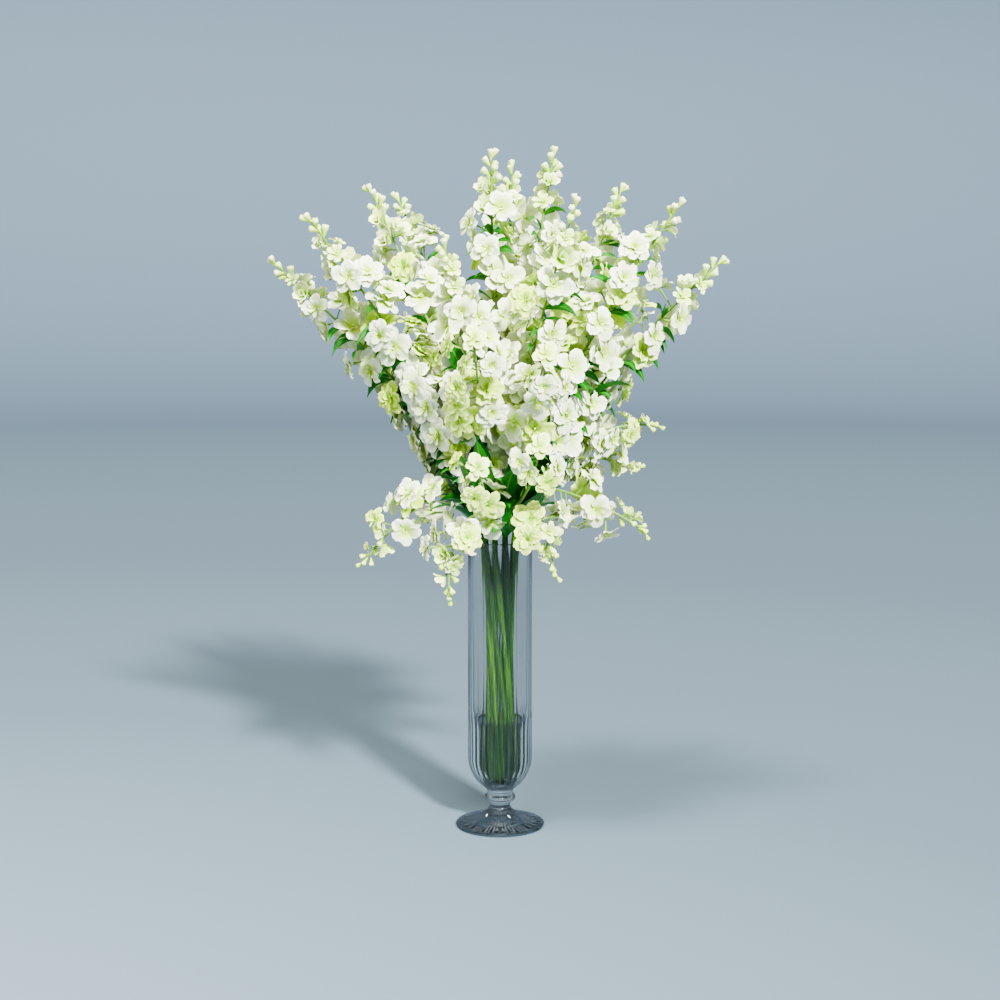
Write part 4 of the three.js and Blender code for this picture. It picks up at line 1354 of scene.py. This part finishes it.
def bracts_of(raceme, flowers, taken):
    """Narrow arched bracts that stand out between the florets of a spike: their sheets."""
    sheets = []
    for flower in flowers:
        seed = flower["seed"]
        if flower["kind"] != "open" or chance(seed, 95) > BRACT_SHARE:
            continue
        root, tangent = flower["root"], raceme["path"].tangent(flower["t"])
        side, other = across(tangent)
        length = mix(*BRACT_LENGTH, chance(seed, 96))
        rise = unit(tangent + vec(0, 0, 0.6))
        tries = []
        for turn in range(0, 360, 20):
            angle = math.radians(turn + 20 * chance(seed, 97))
            out = side * math.cos(angle) + other * math.sin(angle)
            bend = root + out * 0.5 * length + rise * 0.45 * length
            path = Arch(root, bend, root + out * 0.95 * length + rise * 0.12 * length)
            tries.append((path, BRACT_OUTWARD * (outwards(root) @ out)))
        free, path = roomiest(tries, BRACT_STATIONS, BRACT_SPHERE, taken.near(root, raceme["name"]))
        if free >= BRACT_ROOM:
            roll = math.radians(mix(25, 75, chance(seed, 98))) * (1 if chance(seed, 99) < 0.5 else -1)
            sheets.append(leaf_sheet(path, BRACT_WIDTH * length, seed, 10, 5, roll))
            taken.take(path.points(BRACT_STATIONS), BRACT_SPHERE, raceme["name"])
    return sheets


def form_of(flower, raceme):
    """The number of a flower's form."""
    draw, within = chance(flower["seed"], 91), chance(flower["seed"], 92)
    if flower["kind"] != "open" and raceme["name"] in OPEN_TO_TIP:
        return pick(SEMI_DOUBLE, within)
    if flower["kind"] == "bud":
        return BUD[0]
    if flower["kind"] == "half":
        return pick(HALF_OPEN, within)
    if chance(flower["seed"], 93) < YELLOW_SHARE:
        return pick(DOUBLE, within)
    if draw < SINGLE_SHARE:
        return pick(SINGLE, within)
    return pick(SEMI_DOUBLE if draw < 1 - DOUBLE_SHARE else DOUBLE, within)


def size_of(flower, raceme):
    """A flower's radius: the open ones of a side shoot are smaller towards its tip."""
    kind, radius = flower["kind"], flower["radius"]
    if kind != "open" and raceme["name"] in OPEN_TO_TIP:
        return TIP_RADII[kind]
    if raceme["spike"]:
        return radius
    return radius * (mix(*SHOOT_OPEN_SIZES, flower["t"]) if kind == "open" else SHOOT_SIZES[kind])


def tint_of(flower, spike):
    """How yellow-green a flower is, from 0 to 1."""
    share = YELLOW_SHARE if spike else SHOOT_YELLOW_SHARE
    draw = chance(flower["seed"], 93)
    if flower["kind"] == "bud":
        return mix(*(BUD_TINTS if spike else SHOOT_BUD_TINTS), draw)
    if flower["kind"] == "half":
        return mix(share, 1, 0.5 * draw)
    # White florets are a little greener towards the end of their raceme: partly younger flowers' own colour,
    # partly painted shade for light that is weaker higher up.
    return mix(*YELLOW_TINTS, draw / share) if draw < share else 0.08 * draw + 0.1 * flower["t"] ** 3


def scatter(name, places, forms, tree, material):
    """A copy of a form at each place, with its size, turn and tint, as one mesh object."""
    carrier = mesh_piece("carrier", [place["at"] for place in places], [], {
        "turn": np.array([place["turn"] for place in places]),
        "size": np.array([place["size"] for place in places]) * MM,
        "form": np.array([place["form"] for place in places], dtype=int),
        "tint": np.array([place["tint"] for place in places], dtype=float),
    })
    return grown(carrier, tree, {"Forms": forms, "Material": material}, name)


def stalk_piece(name, paths, sides, tree, material, painted_shade=0.0):
    """Round stalks along paths, each a list of points and of radii, as one mesh object."""
    points, radii, edges = [], [], []
    for path_points, path_radii in paths:
        start = len(points)
        points += list(path_points)
        radii += list(path_radii)
        edges += [(start + i, start + i + 1) for i in range(len(path_points) - 1)]
    values = {"thickness": np.array(radii) * MM, "painted_shade": np.full(len(points), painted_shade)}
    carrier = mesh_piece("carrier", points, [], values, edges)
    return grown(carrier, tree, {"Sides": sides, "Material": material}, name)


def stem_run(stem):
    """Points and radii from a stem's cut end to where its flowers begin."""
    straight = [stem["foot"] + (stem["mouth"] - stem["foot"]) * i / 10 for i in range(10)]
    arched = [stem["arch"].point(stem["top"] * i / 12) for i in range(13)]
    points = straight + arched
    shares = [i / 20 for i in range(10)] + [0.5 + i / 24 for i in range(13)]
    return points, [mix(STEM_RADIUS, STEM_TOP_RADIUS, share) for share in shares]


def make_stem(number, stem, more_leaves, tree, materials):
    """One cut stem and its leaves."""
    node = f"stem_{number + 1:02d}"
    painted_shade = PAINTED_STEM_SHADES[number % len(PAINTED_STEM_SHADES)]
    stalk = stalk_piece(f"{node}_stalk", [stem_run(stem)], 14, tree, materials["stem"], painted_shade)
    pieces = [stalk]
    sheets = more_leaves + [
        leaf_sheet(path, LEAF_WIDTH, 10 * number + pair)
        for pair, path in enumerate(leaves_of(number, stem["arch"]))
    ]
    if sheets:
        leaves = mesh_piece(f"{node}_leaves", *joined_sheets(sheets))
        leaves.data.materials.append(materials["leaf"])
        pieces.append(leaves)
    for piece in pieces:
        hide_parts(node)
        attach(piece, "root")


def pedicel(flower):
    """Points and radii of the thin stalk from the rachis to the back of a flower."""
    depth = {"open": 0.27, "half": 0.75, "bud": -BUD_NECK - 0.1}[flower["kind"]]
    back = flower["centre"] - flower["facing"] * depth * flower["radius"]
    reach = np.linalg.norm(back - flower["root"])
    curve = Arch(flower["root"], flower["root"] + flower["pointing"] * 0.6 * reach, back)
    points = [curve.point(i / 4) for i in range(5)]
    slim = PEDICEL_RADIUS * (0.8 if flower["kind"] == "bud" else 1)
    wide = {"open": 2.6, "half": 2.3, "bud": 1.3}[flower["kind"]]
    radii = [slim * 1.4, slim, slim, mix(slim, wide, 0.3), wide]
    return points, radii


def end_bud(raceme):
    """The bud at a raceme's very tip, and how far along the path its neck is."""
    path = raceme["path"]
    length = np.linalg.norm(path.point(raceme["begin"]) - path.point(1))
    neck = mix(1, raceme["begin"], BUD_LENGTH / length)
    return {
        "kind": "bud", "radius": 0.85 * FLOWERS["bud"]["radius"][0], "facing": path.tangent(1),
        "centre": path.point(mix(neck, 1, 0.55)), "seed": 7, "t": 1.0,
    }, neck


def make_raceme(raceme, flowers, bracts, forms, trees, materials):
    """A raceme's flowers, its green stalks and its bracts."""
    last, neck = end_bud(raceme)
    if raceme["name"] in OPEN_TO_TIP:
        flowers = [flower for flower in flowers if flower["kind"] != "bud"]
        last["facing"] = unit(last["facing"] + 0.9 * outwards(last["centre"]))
    places = [{
        "at": flower["centre"], "turn": turn_to(flower["facing"]), "size": [size_of(flower, raceme)] * 3,
        "form": form_of(flower, raceme), "tint": tint_of(flower, raceme["spike"]),
    } for flower in flowers + [last]]
    florets = scatter(f"{raceme['name']}_florets", places, forms, trees["scatter"], materials["petal"])
    steps = 28
    stations = [mix(raceme["begin"], neck, i / steps) for i in range(steps + 1)]
    radii = [mix(raceme["radius"], RACHIS_TIP_RADIUS, i / steps) for i in range(steps + 1)]
    axis = (raceme["path"].points(stations), radii)
    paths = [axis] + [pedicel(flower) for flower in flowers]
    stalks = stalk_piece(f"{raceme['name']}_stalks", paths, 6, trees["stalk"], materials["rachis"])
    pieces = [(florets, "petal_white"), (stalks, "stem_green")]
    if bracts:
        blades = mesh_piece(f"{raceme['name']}_bracts", *joined_sheets(bracts))
        blades.data.materials.append(materials["leaf"])
        pieces.append((blades, "stem_green"))
    for piece, slot in pieces:
        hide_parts(raceme["name"])
        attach(piece, "root")


# ---------------------------------------------------------------- studio

CAMERA_DISTANCE = 2.3143
CAMERA_HEIGHT = 0.7076
CAMERA_TILT = 6.22  # degrees below level
CAMERA_LENS = 61.3
STUDIO_RADIUS = 13.0
STUDIO_CORNER = 4.0
STUDIO_HEIGHT = 7.0
PAINTED_LIGHT_CENTRE = (-1.0, -1.5, 0.0)  # the middle of the pool of light painted on the floor
PAINTED_LIGHT_REACH = 20.0  # how far from there the painted fall-off of light ends
PAINT_AND_PAINTED_LIGHT = [  # the share of that way, and the tone there: the blue-grey paint with painted light and shade
    (0.05, "#6f7e87"), (0.08, "#63737b"), (0.11, "#59676f"), (0.2, "#4f5b63"), (0.35, "#4a575e"),
    (0.55, "#444f58"), (0.85, "#4e5a63"),
]
DAYLIGHT = "#ffefdf"  # on matt surfaces
MIRRORED = "#c0c8cc"  # what glossy and clear ones show
DAYLIGHT_STRENGTH = 1.13
# Soft far lights: bearing in degrees from the right, height above level, strength, softness, tone.
LIGHTS = {
    "main_light": (-66.2, 32.5, 11.8, 6, "#f9fbff"),
    "high_left_light": (-129, 66, 4.3, 13, "#fafcff"),
    "front_fill": (-95, 14, 2.4, 70, "#ffffff"),
}
FLOOR_GAP = 0.0003  # so that the foot and the floor don't share a surface


def make_camera():
    data = bpy.data.cameras.new("camera")
    data.sensor_width = 36
    data.lens = CAMERA_LENS
    camera = bpy.data.objects.new("camera", data)
    camera.location = (0, -CAMERA_DISTANCE, CAMERA_HEIGHT)
    camera.rotation_euler = (math.radians(90 - CAMERA_TILT), 0, 0)
    bpy.context.scene.collection.objects.link(camera)
    bpy.context.scene.camera = camera


def make_light(name, bearing, height, strength, softness, tone):
    """A light so far away that all its rays are parallel."""
    data = bpy.data.lights.new(name, "SUN")
    data.energy = strength
    data.angle = math.radians(softness)
    data.color = colour(tone)[:3]
    light = bpy.data.objects.new(name, data)
    light.rotation_euler = (math.radians(90 - height), 0, math.radians(bearing + 90))
    bpy.context.scene.collection.objects.link(light)


def make_studio():
    """A round studio whose floor sweeps up into its wall, with soft daylight and its lights."""
    profile = [(r, 0) for r in (0, 0.5, 1, 2, 3.5, 5.5, 7.5)]
    centre = (STUDIO_RADIUS - STUDIO_CORNER, STUDIO_CORNER)
    profile += arc(centre, (STUDIO_CORNER, STUDIO_CORNER), (-90, 0), 14)
    profile += [(STUDIO_RADIUS, STUDIO_HEIGHT)]
    segments = 96
    turns = [2 * math.pi * s / segments for s in range(segments)]
    points = [(0, 0, 0)] + [(r * math.cos(t), r * math.sin(t), z) for r, z in profile[1:] for t in turns]
    faces = [[0, 1 + s, 1 + (s + 1) % segments] for s in range(segments)]
    for row in range(len(profile) - 2):
        start = 1 + row * segments
        for s in range(segments):
            following = (s + 1) % segments
            faces.append([start + s, start + segments + s, start + segments + following, start + following])
    points = np.array(points) - vec(0, 0, FLOOR_GAP)
    studio = mesh_piece("studio_floor_and_wall", points, faces, scale=1)
    studio.data.materials.append(studio_material())
    studio.visible_shadow = False
    world = bpy.data.worlds.new("studio_light")
    world.use_nodes = True
    tree = world.node_tree
    matt = add(tree, "ShaderNodeLightPath", gives="Is Diffuse Ray")
    light = add(tree, MIX, {FACTOR: matt, FIRST: colour(MIRRORED), SECOND: colour(DAYLIGHT)}, **OF_COLOURS)
    connect(tree, tree.nodes["Background"], {"Color": light, "Strength": DAYLIGHT_STRENGTH})
    bpy.context.scene.world = world
    bpy.context.scene.view_settings.look = "AgX - Medium High Contrast"
    for name, light in LIGHTS.items():
        make_light(name, *light)


# ---------------------------------------------------------------- everything together


def stand_ins(stems, racemes):
    """Spheres along the stems, their lowest leaves and the racemes' paths."""
    taken = Taken()
    for number, stem in enumerate(stems):
        in_vase = [stem["foot"] + (stem["mouth"] - stem["foot"]) * i / 12 for i in range(12)]
        above = [stem["arch"].point(stem["top"] * i / 14) for i in range(14)]
        taken.take(in_vase + above, STEM_RADIUS, f"stem_{number}")
        for path in leaves_of(number, stem["arch"]):
            taken.take(path.points((0.3, 0.45, 0.6, 0.8)), LEAF_WIDTH * 0.3, f"leaf_{number}")
    for raceme in racemes:
        stations = [mix(raceme["begin"], 1, (i + 0.5) / 60) for i in range(60)]
        taken.take(raceme["path"].points(stations), raceme["radius"] + 1.6, raceme["name"], slim=True)
    return taken


def make_everything():
    make_camera()
    make_studio()
    materials = {
        "petal": petal_material(), "leaf": leaf_material(), "stem": stem_material(),
        "rachis": rachis_material(),
    }
    trees = {"stalk": stalk_tree(), "scatter": scatter_tree()}
    forms = flower_forms(materials["petal"])

    make_vase(glass_material())
    make_water(water_material())

    stems = [stem_path(number) for number in range(len(STEMS))]
    racemes = raceme_paths(stems)
    taken = stand_ins(stems, racemes)
    flowers = [flowers_of(raceme, order, taken) for order, raceme in enumerate(racemes)]
    for order, raceme in enumerate(racemes):
        flowers[order] += young_flowers(raceme, order, taken)
    for number, stem in enumerate(stems):
        more_leaves = []
        if number < OUTER_STEMS:
            more_leaves += front_leaves(number, stem["arch"], taken)
            more_leaves += hugging_leaves(number, stem["arch"], taken)
            more_leaves += neck_leaves(number, stem["arch"], taken)
        make_stem(number, stem, more_leaves, trees["stalk"], materials)
    for order, raceme in enumerate(racemes):
        flowers[order] += fuller_florets(raceme, order, taken)
        bracts = bracts_of(raceme, flowers[order], taken) if raceme["spike"] else []
        make_raceme(raceme, flowers[order], bracts, forms, trees, materials)


make_everything()
